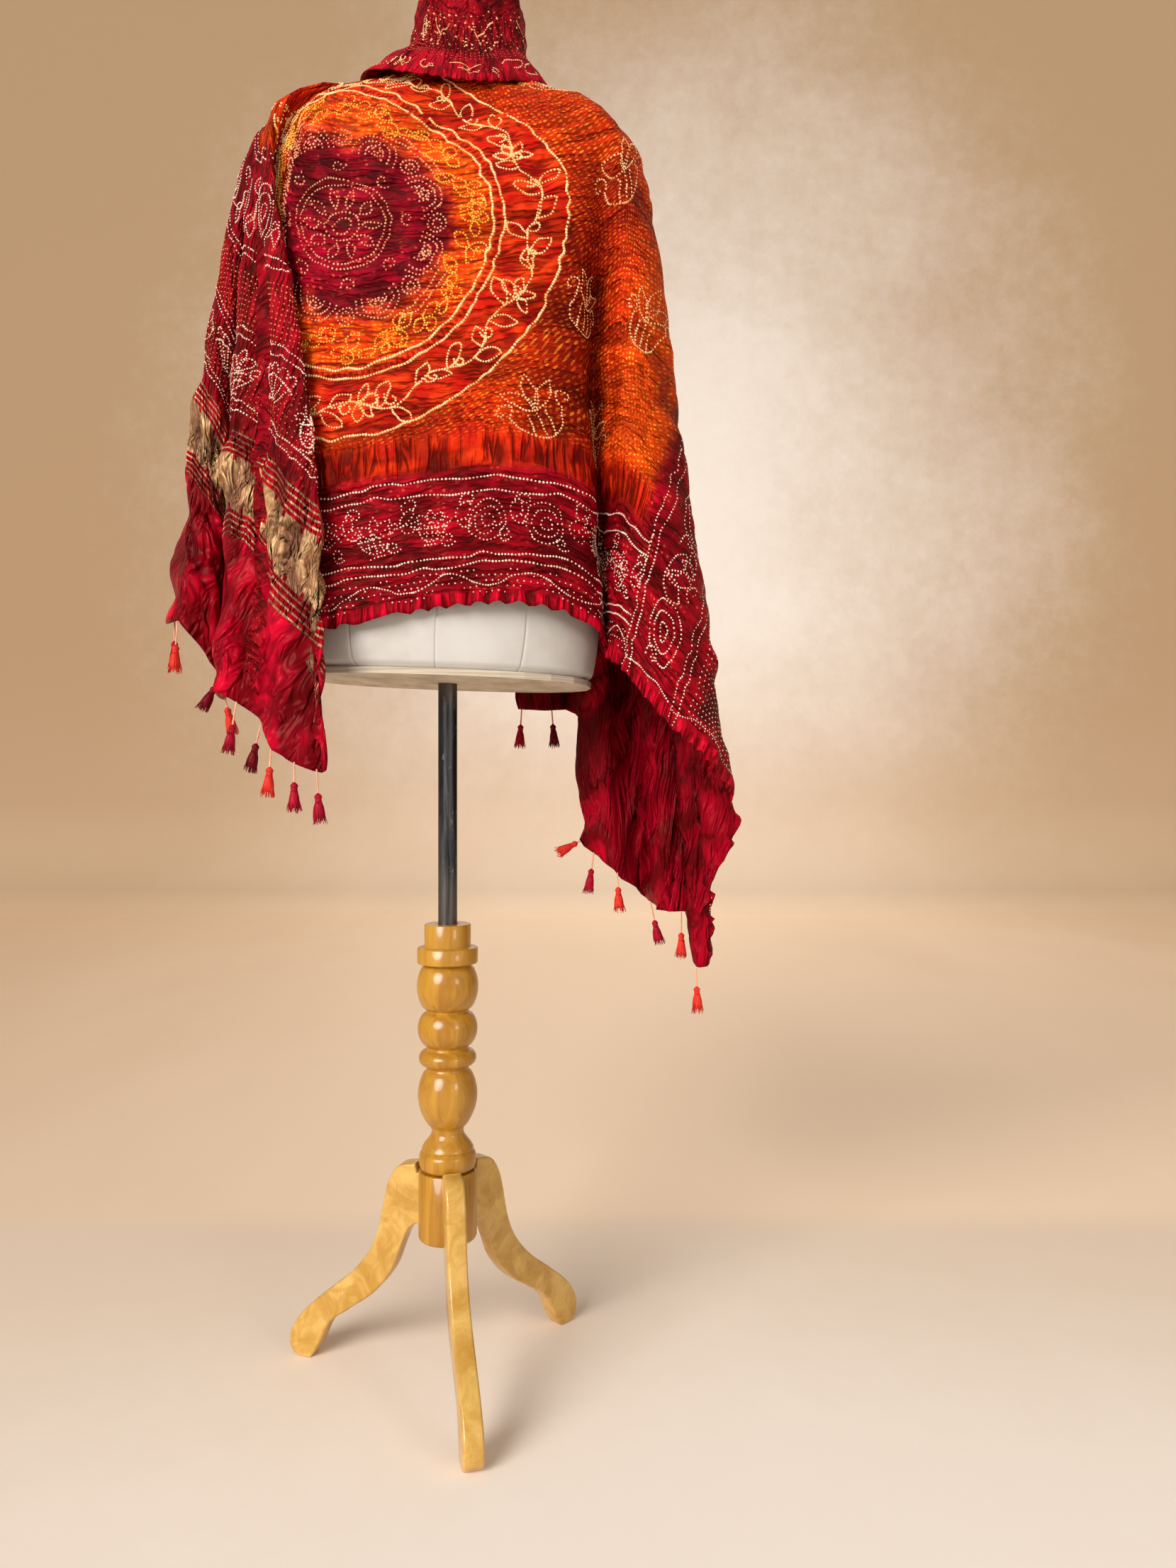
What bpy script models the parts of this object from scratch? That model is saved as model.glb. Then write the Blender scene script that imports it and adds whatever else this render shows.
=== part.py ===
"""A bandhani shawl draped over a dress form that stands on a turned wooden tripod.

Units are metres and +Z is up; the tables give millimetres and degrees. The near side,
-Y, is the form's back, where the shawl lies smooth. Places are measured from the
pole's axis at the floor, and the last step centres the model's box on the origin.
"""
import math
from collections import namedtuple

import bmesh
import bpy
import numpy as np
from mathutils import Matrix, Vector

MM = 0.001
GAP = 0.0003

# The form leans to the right by this angle about its base, as the pole's fit lets it.
LEAN = math.radians(2.0)
BASE_HEIGHT = 0.8190
BOARD_THICKNESS = 0.0070
TORSO_BOTTOM = BASE_HEIGHT + BOARD_THICKNESS + GAP

POLE_RADIUS = 0.0112
POLE_BOTTOM = 0.4700
BORE_CLEARANCE = 0.0003
BORE_DEPTH = 0.0650

HUB_RADIUS = 0.0344
HUB_TOP = 0.2436
HUB_BOTTOM = 0.1620
HUB_ROUNDING = 0.0050
LEG_THICKNESS = 0.0225
LEG_ANGLES = {"leg_front": 284.8, "leg_left": 164.8, "leg_right": 44.8}
TENON_REACH = 0.0220
SLOT_CLEARANCE = 0.0003

SHEET_THICKNESS = 0.0016
COLUMNS_PER_FOLD = 2

COLOURS = {
    "silk": ((0.62, 0.04, 0.03), 0.45, 0.0),
    "tassel_bright": ((0.80, 0.06, 0.04), 0.55, 0.0),
    "tassel_deep": ((0.50, 0.01, 0.03), 0.55, 0.0),
    "tassel_dark": ((0.22, 0.01, 0.02), 0.60, 0.0),
    "form_cloth": ((0.78, 0.76, 0.73), 0.75, 0.0),
    "board": ((0.62, 0.55, 0.43), 0.60, 0.0),
    "wood": ((0.66, 0.40, 0.12), 0.25, 0.0),
    "steel": ((0.10, 0.10, 0.11), 0.30, 0.9),
}

# Torso sections from the base up: height, half-width, depth of the near side (back)
# and of the far side (front), all in the form's own upright frame.
Section = namedtuple("Section", "height half_width near far")
TORSO = (
    Section(826, 170, 110, 99),
    Section(850, 174, 115, 103),
    Section(905, 176, 117, 104),
    Section(1000, 150, 98, 98),
    Section(1080, 124, 81, 94),
    Section(1180, 137, 88, 114),
    Section(1270, 157, 97, 137),
    Section(1345, 168, 102, 126),
    Section(1400, 178, 99, 106),
    Section(1432, 184, 88, 90),
    Section(1452, 168, 76, 78),
    Section(1470, 128, 67, 68),
    Section(1490, 84, 60, 60),
    Section(1512, 56, 55, 55),
    Section(1560, 53, 53, 53),
    Section(1629, 52, 52, 52),
)
TORSO_SQUARENESS = 2.4
TORSO_SEGMENTS = 32
TORSO_RINGS_PER_SECTION = 1

# The neck cap and the stand's column are turned: height and radius down their outer side.
Turn = namedtuple("Turn", "height radius")
CAP_HEIGHT = 1.6295
CAP = (Turn(18, 16), Turn(16, 34), Turn(11, 46), Turn(5, 50.5), Turn(0, 50.5))

# Column members from the top down: name, top and bottom height, radius at top,
# widest radius, radius at the bottom and how many points draw the curve between them.
Member = namedtuple("Member", "name top bottom top_radius widest bottom_radius points")
COLUMN = (
    Member("sleeve", 534.5, 507.5, 27.4, 27.4, 27.4, 2),
    Member("collar", 507.0, 488.0, 35.8, 35.8, 35.8, 2),
    Member("upper_bead", 486.0, 433.0, 26.5, 36.4, 25.0, 7),
    Member("middle_bead", 430.5, 390.5, 25.0, 35.4, 24.5, 7),
    Member("ring", 388.0, 366.5, 25.0, 34.0, 25.5, 5),
    Member("vase", 362.5, 292.0, 26.0, 35.0, 18.6, 8),
    Member("flare", 287.5, 269.0, 18.6, 24.0, 30.0, 3),
    Member("torus", 267.0, 244.0, 30.5, 34.2, 29.0, 5),
)
COLUMN_SEGMENTS = 28

# Outline of a leg's board in its own plane: reach from the axis and height, from the
# tenon over the knee to the toe, along the sole and back up the inner side.
LEG_OUTLINE = (
    (22, 239), (35, 239), (37, 250), (59, 245), (72, 226), (78, 204), (86, 167),
    (98, 139), (123, 109), (155, 83), (185, 57), (199, 38), (204, 22), (201, 8), (192, 0),
    (176, 0), (166, 14), (150, 46), (125, 65), (91, 90), (67, 120), (55, 150),
    (46, 170), (37, 178), (22, 178),
)

# Folds of the shawl, in order from its left front edge round the near side to its
# right front edge. neck and shoulder are plan angles (0 is +X, 270 the near side),
# lift is how far the cloth stands off the shoulder, sway moves the middle of the
# drop, and foot is where the fold ends at the hem.
Fold = namedtuple("Fold", "name neck shoulder lift sway_x sway_y foot_x foot_y foot_z")
FOLDS = (
    Fold("left_front_edge", 102, 106, 7, 0, 6, -52, 154, 1270),
    Fold("left_chest", 112, 120, 7, -2, 8, -120, 160, 1195),
    Fold("left_chest_valley", 123, 135, 8, -4, 4, -172, 126, 1130),
    Fold("left_side_flute", 134, 148, 14, -12, 10, -234, 144, 1055),
    Fold("left_side_valley", 145, 159, 22, -14, 2, -248, 88, 990),
    Fold("left_outer_flute", 156, 169, 34, -18, 4, -308, 70, 935),
    Fold("left_silhouette", 166, 178, 40, -20, 0, -323, 5, 890),
    Fold("left_strip", 174, 185, 36, -16, -4, -300, -66, 886),
    Fold("strip_return", 182, 189, 28, -20, 0, -266, -54, 850),
    Fold("strip_valley", 188, 190, 19, -24, 4, -250, -32, 800),
    Fold("panel_left", 194, 193, 24, -10, -18, -234, -112, 800),
    Fold("panel_valley", 200, 196, 25, 4, -12, -192, -116, 772),
    Fold("panel_crest", 206, 199, 28, 8, -22, -158, -152, 730),
    Fold("pleat_edge", 212, 202, 29, 15, -20, -110, -150, 713),
    Fold("pleat_return", 219, 201, 19, 0, -14, -168, -124, 780),
    Fold("pleat_root", 226, 199, 11, -14, -8, -224, -92, 835),
    Fold("under_panel", 233, 208, 7, -6, -10, -175, -92, 855),
    Fold("panel_start", 241, 224, 6, -2, -8, -118, -122, 866),
    Fold("back_left", 253, 246, 6, 0, -6, -55, -131, 878),
    Fold("back_middle", 267, 268, 6, 0, -6, 15, -134, 889),
    Fold("back_right", 281, 288, 6, 0, -6, 85, -131, 894),
    Fold("back_edge", 293, 305, 6, 2, -8, 150, -113, 884),
    Fold("recess_lip", 303, 320, 6, 0, -10, 179, -80, 866),
    Fold("recess", 311, 329, 6, -6, 6, 186, -30, 850),
    Fold("right_lip", 319, 334, 9, 4, -16, 203, -93, 828),
    Fold("right_near", 330, 341, 2, 6, -24, 258, -100, 762),
    Fold("right_turn", 341, 350, -3, 8, -14, 320, -56, 708),
    Fold("right_silhouette", 351, 358, -4, 2, 0, 342, 5, 640),
    Fold("tail_notch", 356, 362, -4, 12, 2, 315, 28, 574),
    Fold("tail_outer", 361, 367, -4, 6, 4, 317, 44, 482),
    Fold("tail_inner", 367, 372, -4, 4, 6, 300, 54, 474),
    Fold("tail_back", 374, 378, -2, 2, 8, 298, 90, 535),
    Fold("far_flute", 381, 385, 2, 0, 4, 262, 78, 540),
    Fold("far_crest", 388, 393, 6, 0, 12, 238, 134, 556),
    Fold("far_valley", 395, 401, 10, 0, 6, 200, 98, 590),
    Fold("far_turn", 402, 411, 10, 0, 14, 160, 124, 628),
    Fold("far_step", 409, 421, 9, 4, 10, 174, 154, 720),
    Fold("front_flute", 417, 431, 8, 4, 14, 150, 180, 795),
    Fold("front_valley", 425, 440, 7, 4, 12, 110, 152, 797),
    Fold("right_front_edge", 433, 448, 7, 4, 12, 74, 168, 800),
)

# The collar's section from its turned-down edge over the crest to the neck's base: reach
# from the neck's axis, how much more to the left, height at the sides, how much lower it
# lies at the back and front, and how much lower still where it opens in front.
Collar = namedtuple("Collar", "name reach left_more height dip front_drop")
COLLAR = (
    Collar("flap_edge", 112, 13, 1516, 50, 14),
    Collar("flap", 92, 7, 1537, 38, 20),
    Collar("crease", 72, 2, 1559, 30, 28),
    Collar("outer_wrap", 66, 0, 1584, 8, 44),
    Collar("crest", 62, 0, 1613, 0, 52),
    Collar("inner_wrap", 57.5, 0, 1590, 0, 44),
    Collar("inner_low", 59, 0, 1545, 0, 12),
    Collar("neck_base", 68, 0, 1517, 8, 0),
)
# Between the neck and the ring the cloth lies on the shoulder, a little above the straight line.
YOKE_PLACE = 0.45
YOKE_ARCH = 0.0060
YOKE_ARCH_PER_LIFT = 0.1
# Where the rows of the mesh lie along a fold, in steps from one control point to the next.
ROWS = (
    0, 0.5, 1, 2, 3, 4, 5, 6, 7, 8, 8.5,
    9, 9.25, 9.5, 9.75, 10, 10.2, 10.4, 10.6, 10.8, 11,
)

# The ring where the cloth leaves the shoulders, in the form's upright frame.
RING_HALF_WIDTH = 0.1960
RING_NEAR = 0.1140
RING_FAR = 0.1420
RING_SQUARENESS = 2.5
RING_HEIGHT = 1.4580
RING_DROP_NEAR = 0.0520
RING_DROP_FAR = 0.1150
RING_DROP_POWER = 1.5
RING_RISE_PER_LIFT = 0.25

# Tassels: place along the folds (2.5 is half way from the third fold to the fourth),
# length of the cord above the head, lean from the plumb line, its plan direction, shade.
Tassel = namedtuple("Tassel", "along cord lean toward shade")
TASSELS = (
    Tassel(0.1, 20, 0, 0, "tassel_deep"),
    Tassel(1.0, 22, 0, 0, "tassel_bright"),
    Tassel(2.0, 20, 0, 0, "tassel_deep"),
    Tassel(3.0, 22, 0, 0, "tassel_deep"),
    Tassel(4.0, 20, 0, 0, "tassel_bright"),
    Tassel(5.0, 22, 0, 0, "tassel_deep"),
    Tassel(6.2, 21, 0, 0, "tassel_deep"),
    Tassel(7.1, 26, 3, 190, "tassel_bright"),
    Tassel(8.5, 12, 28, 200, "tassel_dark"),
    Tassel(9.3, 12, 12, 20, "tassel_bright"),
    Tassel(10.5, 24, 10, 170, "tassel_deep"),
    Tassel(11.2, 20, 14, 170, "tassel_dark"),
    Tassel(11.7, 24, 4, 200, "tassel_bright"),
    Tassel(12.3, 20, 0, 0, "tassel_deep"),
    Tassel(12.8, 24, 3, 10, "tassel_deep"),
    Tassel(30.0, 24, 2, 0, "tassel_bright"),
    Tassel(31.4, 26, 0, 0, "tassel_bright"),
    Tassel(32.6, 24, 12, 10, "tassel_deep"),
    Tassel(33.9, 18, 3, 10, "tassel_bright"),
    Tassel(34.6, 20, 8, 190, "tassel_deep"),
    Tassel(35.0, 8, 62, 190, "tassel_bright"),
    Tassel(36.9, 18, 6, 0, "tassel_dark"),
    Tassel(37.8, 18, 4, 10, "tassel_dark"),
    Tassel(38.9, 20, 3, 190, "tassel_deep"),
)
STRANDS = 8
# A tassel's outline down its length: distance below the cord's end and radius.
TASSEL_HEAD = (Turn(0, 0.9), Turn(1.5, 2.2), Turn(4.2, 4.1), Turn(7.4, 3.2), Turn(11.0, 4.6))
TASSEL_CORD_RADIUS = 0.7
TASSEL_TIP = 1.2
RIM_TILT = 0.35
SLOPE_LIMIT = 4.0
TASSEL_STRAND_LENGTH = 21.0
TASSEL_SPREAD = 1.9


def clear_scene():
    """Removes the objects of whatever file the script is run in."""
    for thing in list(bpy.data.objects):
        bpy.data.objects.remove(thing)


def material(name):
    """A Principled BSDF with the part's colour, roughness and metallic value."""
    if name in bpy.data.materials:
        return bpy.data.materials[name]
    colour, roughness, metallic = COLOURS[name]
    made = bpy.data.materials.new(name)
    made.use_nodes = True
    shader = made.node_tree.nodes["Principled BSDF"]
    shader.inputs["Base Color"].default_value = (*colour, 1.0)
    shader.inputs["Roughness"].default_value = roughness
    shader.inputs["Metallic"].default_value = metallic
    made.diffuse_color = (*colour, 1.0)
    return made


def add_object(name, data, shade, collection):
    thing = bpy.data.objects.new(name, data)
    data.materials.append(material(shade))
    collection.objects.link(thing)
    return thing


def grid_mesh(name, points, ring=False):
    """A mesh of quads over a grid of points; ring closes each row on itself and caps the ends."""
    rows, columns = points.shape[:2]
    build = bmesh.new()
    verts = [[build.verts.new(point) for point in row] for row in points]
    span = columns if ring else columns - 1
    for i in range(rows - 1):
        for j in range(span):
            k = (j + 1) % columns
            build.faces.new((verts[i][j], verts[i][k], verts[i + 1][k], verts[i + 1][j]))
    if ring:
        build.faces.new(list(reversed(verts[0])))
        build.faces.new(verts[-1])
    mesh = bpy.data.meshes.new(name)
    build.to_mesh(mesh)
    build.free()
    mesh.shade_smooth()
    return mesh


def through(points, places):
    """A smooth curve through the first axis of points, read at places counted in points.

    Centripetal Catmull-Rom: between two points it is the cubic whose end slopes come
    from the neighbours, weighted by the square root of the distances.
    """
    ends = np.concatenate([2 * points[:1] - points[1:2], points, 2 * points[-1:] - points[-2:-1]])
    first = np.clip(np.floor(places).astype(int), 0, len(points) - 2)
    shape = (-1,) + (1,) * (points.ndim - 1)
    s = (np.asarray(places) - first).reshape(shape)
    p0, p1, p2, p3 = (ends[first + k] for k in range(4))

    def knot(a, b):
        return np.sqrt(np.linalg.norm(b - a, axis=-1, keepdims=True)) + 1e-6

    k0, k1, k2 = knot(p0, p1), knot(p1, p2), knot(p2, p3)
    slope_1 = k1 * ((p1 - p0) / k0 - (p2 - p0) / (k0 + k1) + (p2 - p1) / k1)
    slope_2 = k1 * ((p2 - p1) / k1 - (p3 - p1) / (k1 + k2) + (p3 - p2) / k2)
    return (
        p1 * (2 * s**3 - 3 * s**2 + 1)
        + slope_1 * (s**3 - 2 * s**2 + s)
        + p2 * (3 * s**2 - 2 * s**3)
        + slope_2 * (s**3 - s**2)
    )


def leaned(points):
    """Points of the form's upright frame, turned with it about the middle of its base."""
    x, y, z = points[..., 0], points[..., 1], points[..., 2] - BASE_HEIGHT
    c, s = math.cos(LEAN), math.sin(LEAN)
    return np.stack([c * x + s * z, y, c * z - s * x + BASE_HEIGHT], axis=-1)


def oval(angle, half_width, near, far, squareness):
    """Distance from the axis to a rounded oblong, whose two sides have their own depth."""
    c, s = np.cos(angle), np.sin(angle)
    depth = np.where(s < 0, near, far)
    return (np.abs(c / half_width) ** squareness + np.abs(s / depth) ** squareness) ** (-1 / squareness)


def fold_controls(fold):
    """One fold's points from the collar's edge to the hem: collar, yoke, ring, middle and foot."""
    neck = math.radians(fold.neck)
    turn = math.sin(neck) ** 2
    front = max(0.0, math.sin(neck)) ** 4
    collar = []
    for c in COLLAR:
        reach = c.reach - c.left_more * math.cos(neck)
        height = c.height - c.dip * turn - c.front_drop * front
        collar.append((reach * math.cos(neck) * MM, reach * math.sin(neck) * MM, height * MM))
    angle = math.radians(fold.shoulder)
    reach = float(oval(angle, RING_HALF_WIDTH, RING_NEAR, RING_FAR, RING_SQUARENESS)) + fold.lift * MM
    drop = RING_DROP_NEAR if math.sin(angle) < 0 else RING_DROP_FAR
    height = RING_HEIGHT - drop * abs(math.sin(angle)) ** RING_DROP_POWER
    height += RING_RISE_PER_LIFT * fold.lift * MM
    ring = np.array((reach * math.cos(angle), reach * math.sin(angle), height))
    yoke = (1 - YOKE_PLACE) * np.array(collar[-1]) + YOKE_PLACE * ring
    yoke[2] += YOKE_ARCH + YOKE_ARCH_PER_LIFT * max(0.0, fold.lift) * MM
    upper = leaned(np.array([*collar, yoke, ring]))
    foot = np.array([fold.foot_x, fold.foot_y, fold.foot_z]) * MM
    sway = np.array([fold.sway_x, fold.sway_y, 0.0]) * MM
    middle = 0.5 * (upper[-1] + foot) + sway
    return np.vstack([upper, middle, foot])


def shawl_points(columns, rows):
    """The draped sheet as a grid: fold controls joined round the body, then down each column."""
    controls = np.array([fold_controls(fold) for fold in FOLDS])
    across = through(controls, columns)
    return through(np.swapaxes(across, 0, 1), rows)


def mesh_columns():
    """Where the columns of the mesh lie, counted in folds."""
    return np.linspace(0, len(FOLDS) - 1, (len(FOLDS) - 1) * COLUMNS_PER_FOLD + 1)


def on_hem(along):
    """A point of the mesh's lower edge, which is straight between one column and the next."""
    columns = mesh_columns()
    edge = shawl_points(columns, np.array(ROWS[-1:], dtype=float))[0]
    return np.array([np.interp(along, columns, edge[:, k]) for k in range(3)])


def make_shawl(collection):
    mesh = grid_mesh("shawl", shawl_points(mesh_columns(), np.array(ROWS)))
    shawl = add_object("shawl", mesh, "silk", collection)
    solidify = shawl.modifiers.new("cloth", "SOLIDIFY")
    solidify.thickness = SHEET_THICKNESS
    solidify.offset = 0.0
    return shawl


def make_torso(collection):
    sections = np.array(TORSO) * MM
    places = np.linspace(0, len(TORSO) - 1, (len(TORSO) - 1) * TORSO_RINGS_PER_SECTION + 1)
    height, half_width, near, far = through(sections, places).T[:, :, None]
    angle = np.linspace(0, 2 * math.pi, TORSO_SEGMENTS, endpoint=False)[None, :]
    reach = oval(angle, half_width, near, far, TORSO_SQUARENESS)
    points = np.stack([reach * np.cos(angle), reach * np.sin(angle), height + 0 * angle], axis=-1)
    points[0, :, 2] = TORSO_BOTTOM
    return add_object("torso", grid_mesh("torso", leaned(points), ring=True), "form_cloth", collection)


def make_base_board(collection, cutters):
    """The board under the torso, with the hole that the pole goes through."""
    base = TORSO[0]
    angle = np.linspace(0, 2 * math.pi, TORSO_SEGMENTS, endpoint=False)
    reach = oval(angle, base.half_width * MM, base.near * MM, base.far * MM, TORSO_SQUARENESS)
    ring = np.stack([reach * np.cos(angle), reach * np.sin(angle)], axis=-1)
    levels = (BASE_HEIGHT, BASE_HEIGHT + BOARD_THICKNESS)
    points = np.array([[(x, y, level) for x, y in ring] for level in levels])
    mesh = grid_mesh("base_board", leaned(points), ring=True)
    mesh.shade_flat()
    board = add_object("base_board", mesh, "board", collection)
    hole = cylinder("pole_hole", POLE_RADIUS + 2 * BORE_CLEARANCE, BASE_HEIGHT - 0.02, BASE_HEIGHT + 0.04)
    cut(board, hole, cutters)
    return board


def cylinder(name, radius, bottom, top, segments=24):
    """A capped upright cylinder on the pole's axis."""
    build = bmesh.new()
    bmesh.ops.create_cone(
        build, cap_ends=True, segments=segments, radius1=radius, radius2=radius, depth=top - bottom
    )
    bmesh.ops.translate(build, verts=build.verts, vec=(0, 0, 0.5 * (top + bottom)))
    mesh = bpy.data.meshes.new(name)
    build.to_mesh(mesh)
    build.free()
    return mesh


def cut(thing, mesh, cutters):
    """Takes the cutter's shape out of thing with a Boolean."""
    cutter = bpy.data.objects.new(mesh.name, mesh)
    cutter.hide_render = True
    cutter.display_type = "WIRE"
    cutters.objects.link(cutter)
    boolean = thing.modifiers.new(mesh.name, "BOOLEAN")
    boolean.operation = "DIFFERENCE"
    boolean.object = cutter


def turned(name, profile, segments, shade, collection):
    """A profile of radius and height at +X, from the axis down the outer side, spun by Screw."""
    mesh = bpy.data.meshes.new(name)
    points = [(radius, 0.0, height) for radius, height in profile]
    mesh.from_pydata(points, [(i, i + 1) for i in range(len(points) - 1)], [])
    thing = add_object(name, mesh, shade, collection)
    spin = thing.modifiers.new("spin", "SCREW")
    spin.angle = 2 * math.pi
    spin.steps = segments
    spin.render_steps = segments
    spin.use_merge_vertices = True
    spin.merge_threshold = 0.00005
    spin.use_smooth_shade = True
    return thing


def member_profile(member):
    """Radius and height down one turned member: a half wave from end to end through the widest."""
    drop = np.linspace(0, 1, member.points)
    ends = member.top_radius + (member.bottom_radius - member.top_radius) * drop
    swell = member.widest - 0.5 * (member.top_radius + member.bottom_radius)
    radius = ends + swell * np.sin(math.pi * drop) ** 0.7
    height = member.top + (member.bottom - member.top) * drop
    return [(r * MM, h * MM) for r, h in zip(radius, height)]


def make_column(collection):
    """The turned column, bored at its top for the pole."""
    bore = POLE_RADIUS + BORE_CLEARANCE
    top = COLUMN[0].top * MM
    profile = [(0.0, top - BORE_DEPTH), (bore, top - BORE_DEPTH), (bore, top)]
    for member in COLUMN:
        profile += member_profile(member)
    profile.append((0.0, COLUMN[-1].bottom * MM))
    return turned("column", profile, COLUMN_SEGMENTS, "wood", collection)


def make_neck_cap(collection):
    profile = [(0.0, CAP_HEIGHT + CAP[0].height * MM)]
    profile += [(turn.radius * MM, CAP_HEIGHT + turn.height * MM) for turn in CAP]
    profile.append((0.0, CAP_HEIGHT))
    cap = turned("neck_cap", profile, COLUMN_SEGMENTS, "wood", collection)
    pivot = Matrix.Translation((0, 0, BASE_HEIGHT))
    cap.matrix_world = pivot @ Matrix.Rotation(LEAN, 4, "Y") @ pivot.inverted()
    return cap


def make_pole(collection):
    top = TORSO_BOTTOM - POLE_RADIUS * math.tan(LEAN) - GAP
    mesh = cylinder("pole", POLE_RADIUS, POLE_BOTTOM, top, COLUMN_SEGMENTS)
    mesh.shade_smooth()
    mesh.set_sharp_from_angle(angle=math.radians(40))
    return add_object("pole", mesh, "steel", collection)


def make_hub(collection, cutters):
    """The hub under the column, with a slot for each leg's tenon."""
    r = HUB_ROUNDING
    profile = [(0.0, HUB_TOP), (HUB_RADIUS - 0.001, HUB_TOP), (HUB_RADIUS, HUB_TOP - 0.001)]
    for step in range(4):
        angle = step / 3 * math.pi / 2
        profile.append((HUB_RADIUS - r + r * math.cos(angle), HUB_BOTTOM + r - r * math.sin(angle)))
    profile.append((0.0, HUB_BOTTOM))
    hub = turned("hub", profile, COLUMN_SEGMENTS, "wood", collection)
    heights = [z * MM for x, z in LEG_OUTLINE if x * MM <= TENON_REACH + 1e-6]
    low, high = min(heights) - SLOT_CLEARANCE, max(heights) + SLOT_CLEARANCE
    inner, outer = TENON_REACH - SLOT_CLEARANCE, HUB_RADIUS + 0.010
    for name, degrees in LEG_ANGLES.items():
        build = bmesh.new()
        bmesh.ops.create_cube(build, size=1.0)
        size = (outer - inner, LEG_THICKNESS + 2 * SLOT_CLEARANCE, high - low)
        bmesh.ops.scale(build, verts=build.verts, vec=size)
        bmesh.ops.translate(build, verts=build.verts, vec=(0.5 * (inner + outer), 0, 0.5 * (low + high)))
        bmesh.ops.rotate(build, verts=build.verts, matrix=Matrix.Rotation(math.radians(degrees), 3, "Z"))
        mesh = bpy.data.meshes.new("slot_" + name)
        build.to_mesh(mesh)
        build.free()
        cut(hub, mesh, cutters)
    return hub


def make_leg(name, degrees, collection):
    """A leg sawn from a board: a flat outline, as thick as the board, stood on its edge."""
    curve = bpy.data.curves.new(name, "CURVE")
    curve.dimensions = "2D"
    curve.fill_mode = "BOTH"
    curve.extrude = 0.5 * LEG_THICKNESS
    spline = curve.splines.new("POLY")
    outline = leg_outline()
    spline.points.add(len(outline) - 1)
    for point, (x, z) in zip(spline.points, outline):
        point.co = (x, z, 0.0, 1.0)
    spline.use_cyclic_u = True
    leg = add_object(name, curve, "wood", collection)
    upright = Matrix.Rotation(math.radians(90), 4, "X")
    leg.matrix_world = Matrix.Rotation(math.radians(degrees), 4, "Z") @ upright
    return leg


def leg_outline():
    """The leg's outline with its two long sides drawn as smooth curves and its tenon and sole straight."""
    points = np.array(LEG_OUTLINE) * MM
    toe = LEG_OUTLINE.index((192, 0))
    upper = points[2 : toe + 1]
    lower = points[toe + 1 : -1]

    def smooth(side):
        return through(side, np.linspace(0, len(side) - 1, 2 * len(side) - 1))

    return np.vstack([points[:2], smooth(upper), smooth(lower), points[-1:]])


def make_tassel(index, tassel, collection):
    """A cord, a bound head and a skirt of separate strands that hang from the head's underside."""
    top = on_hem(tassel.along)
    run = on_hem(tassel.along + 0.05) - on_hem(tassel.along - 0.05)
    slope = min(SLOPE_LIMIT, abs(run[2]) / math.hypot(run[0], run[1]))
    rings = [Turn(-tassel.cord, TASSEL_CORD_RADIUS), *TASSEL_HEAD]
    build = bmesh.new()
    bmesh.ops.create_uvsphere(build, u_segments=STRANDS, v_segments=len(rings) + 1, radius=1.0)
    levels = sorted({round(v.co.z, 4) for v in build.verts}, reverse=True)
    heights = [rings[0].height - TASSEL_TIP, *[ring.height for ring in rings], rings[-1].height]
    radii = [0.0, *[ring.radius for ring in rings], 0.0]
    for vert in build.verts:
        level = levels.index(round(vert.co.z, 4))
        flat = Vector((vert.co.x, vert.co.y, 0.0))
        aim = flat.normalized() if flat.length > 1e-4 else flat * 0
        vert.co = aim * radii[level] * MM + Vector((0, 0, -heights[level] * MM))
    build.normal_update()
    lowest = -rings[-1].height * MM
    under = [f for f in build.faces if all(abs(v.co.z - lowest) < 1e-6 for v in f.verts)]
    strands = bmesh.ops.extrude_discrete_faces(build, faces=under)["faces"]
    for strand in strands:
        spread = TASSEL_SPREAD * strand.calc_center_median()
        for vert in strand.verts:
            vert.co = 0.8 * vert.co + 0.2 * strand.calc_center_median()
            vert.co += Vector((spread.x, spread.y, -TASSEL_STRAND_LENGTH * MM))
    name = f"tassel_{index + 1:02d}"
    mesh = bpy.data.meshes.new(name)
    build.to_mesh(mesh)
    build.free()
    made = add_object(name, mesh, tassel.shade, collection)
    hang = Matrix.Rotation(math.radians(-tassel.lean), 4, "Y")
    aim = Matrix.Rotation(math.radians(tassel.toward), 4, "Z")
    steeper = max(0.0, slope - TASSEL_TIP / TASSEL_CORD_RADIUS)
    seat = GAP + RIM_TILT * 0.5 * SHEET_THICKNESS + TASSEL_CORD_RADIUS * MM * steeper
    drop = Matrix.Translation(Vector(top) - Vector((0, 0, seat)))
    made.matrix_world = drop @ aim @ hang @ Matrix.Translation((0, 0, -(tassel.cord + TASSEL_TIP) * MM))
    return made


def centre_on_origin(things, root):
    """Moves the model so that the middle of its box stands over the origin, on the floor."""
    bpy.context.view_layer.update()
    graph = bpy.context.evaluated_depsgraph_get()
    corners = []
    for thing in things:
        shown = thing.evaluated_get(graph)
        corners += [tuple(shown.matrix_world @ vert.co) for vert in shown.to_mesh().vertices]
        shown.to_mesh_clear()
    corners = np.array(corners)
    middle = 0.5 * (corners.min(axis=0) + corners.max(axis=0))
    root.location = (-middle[0], -middle[1], -corners[:, 2].min())


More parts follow.
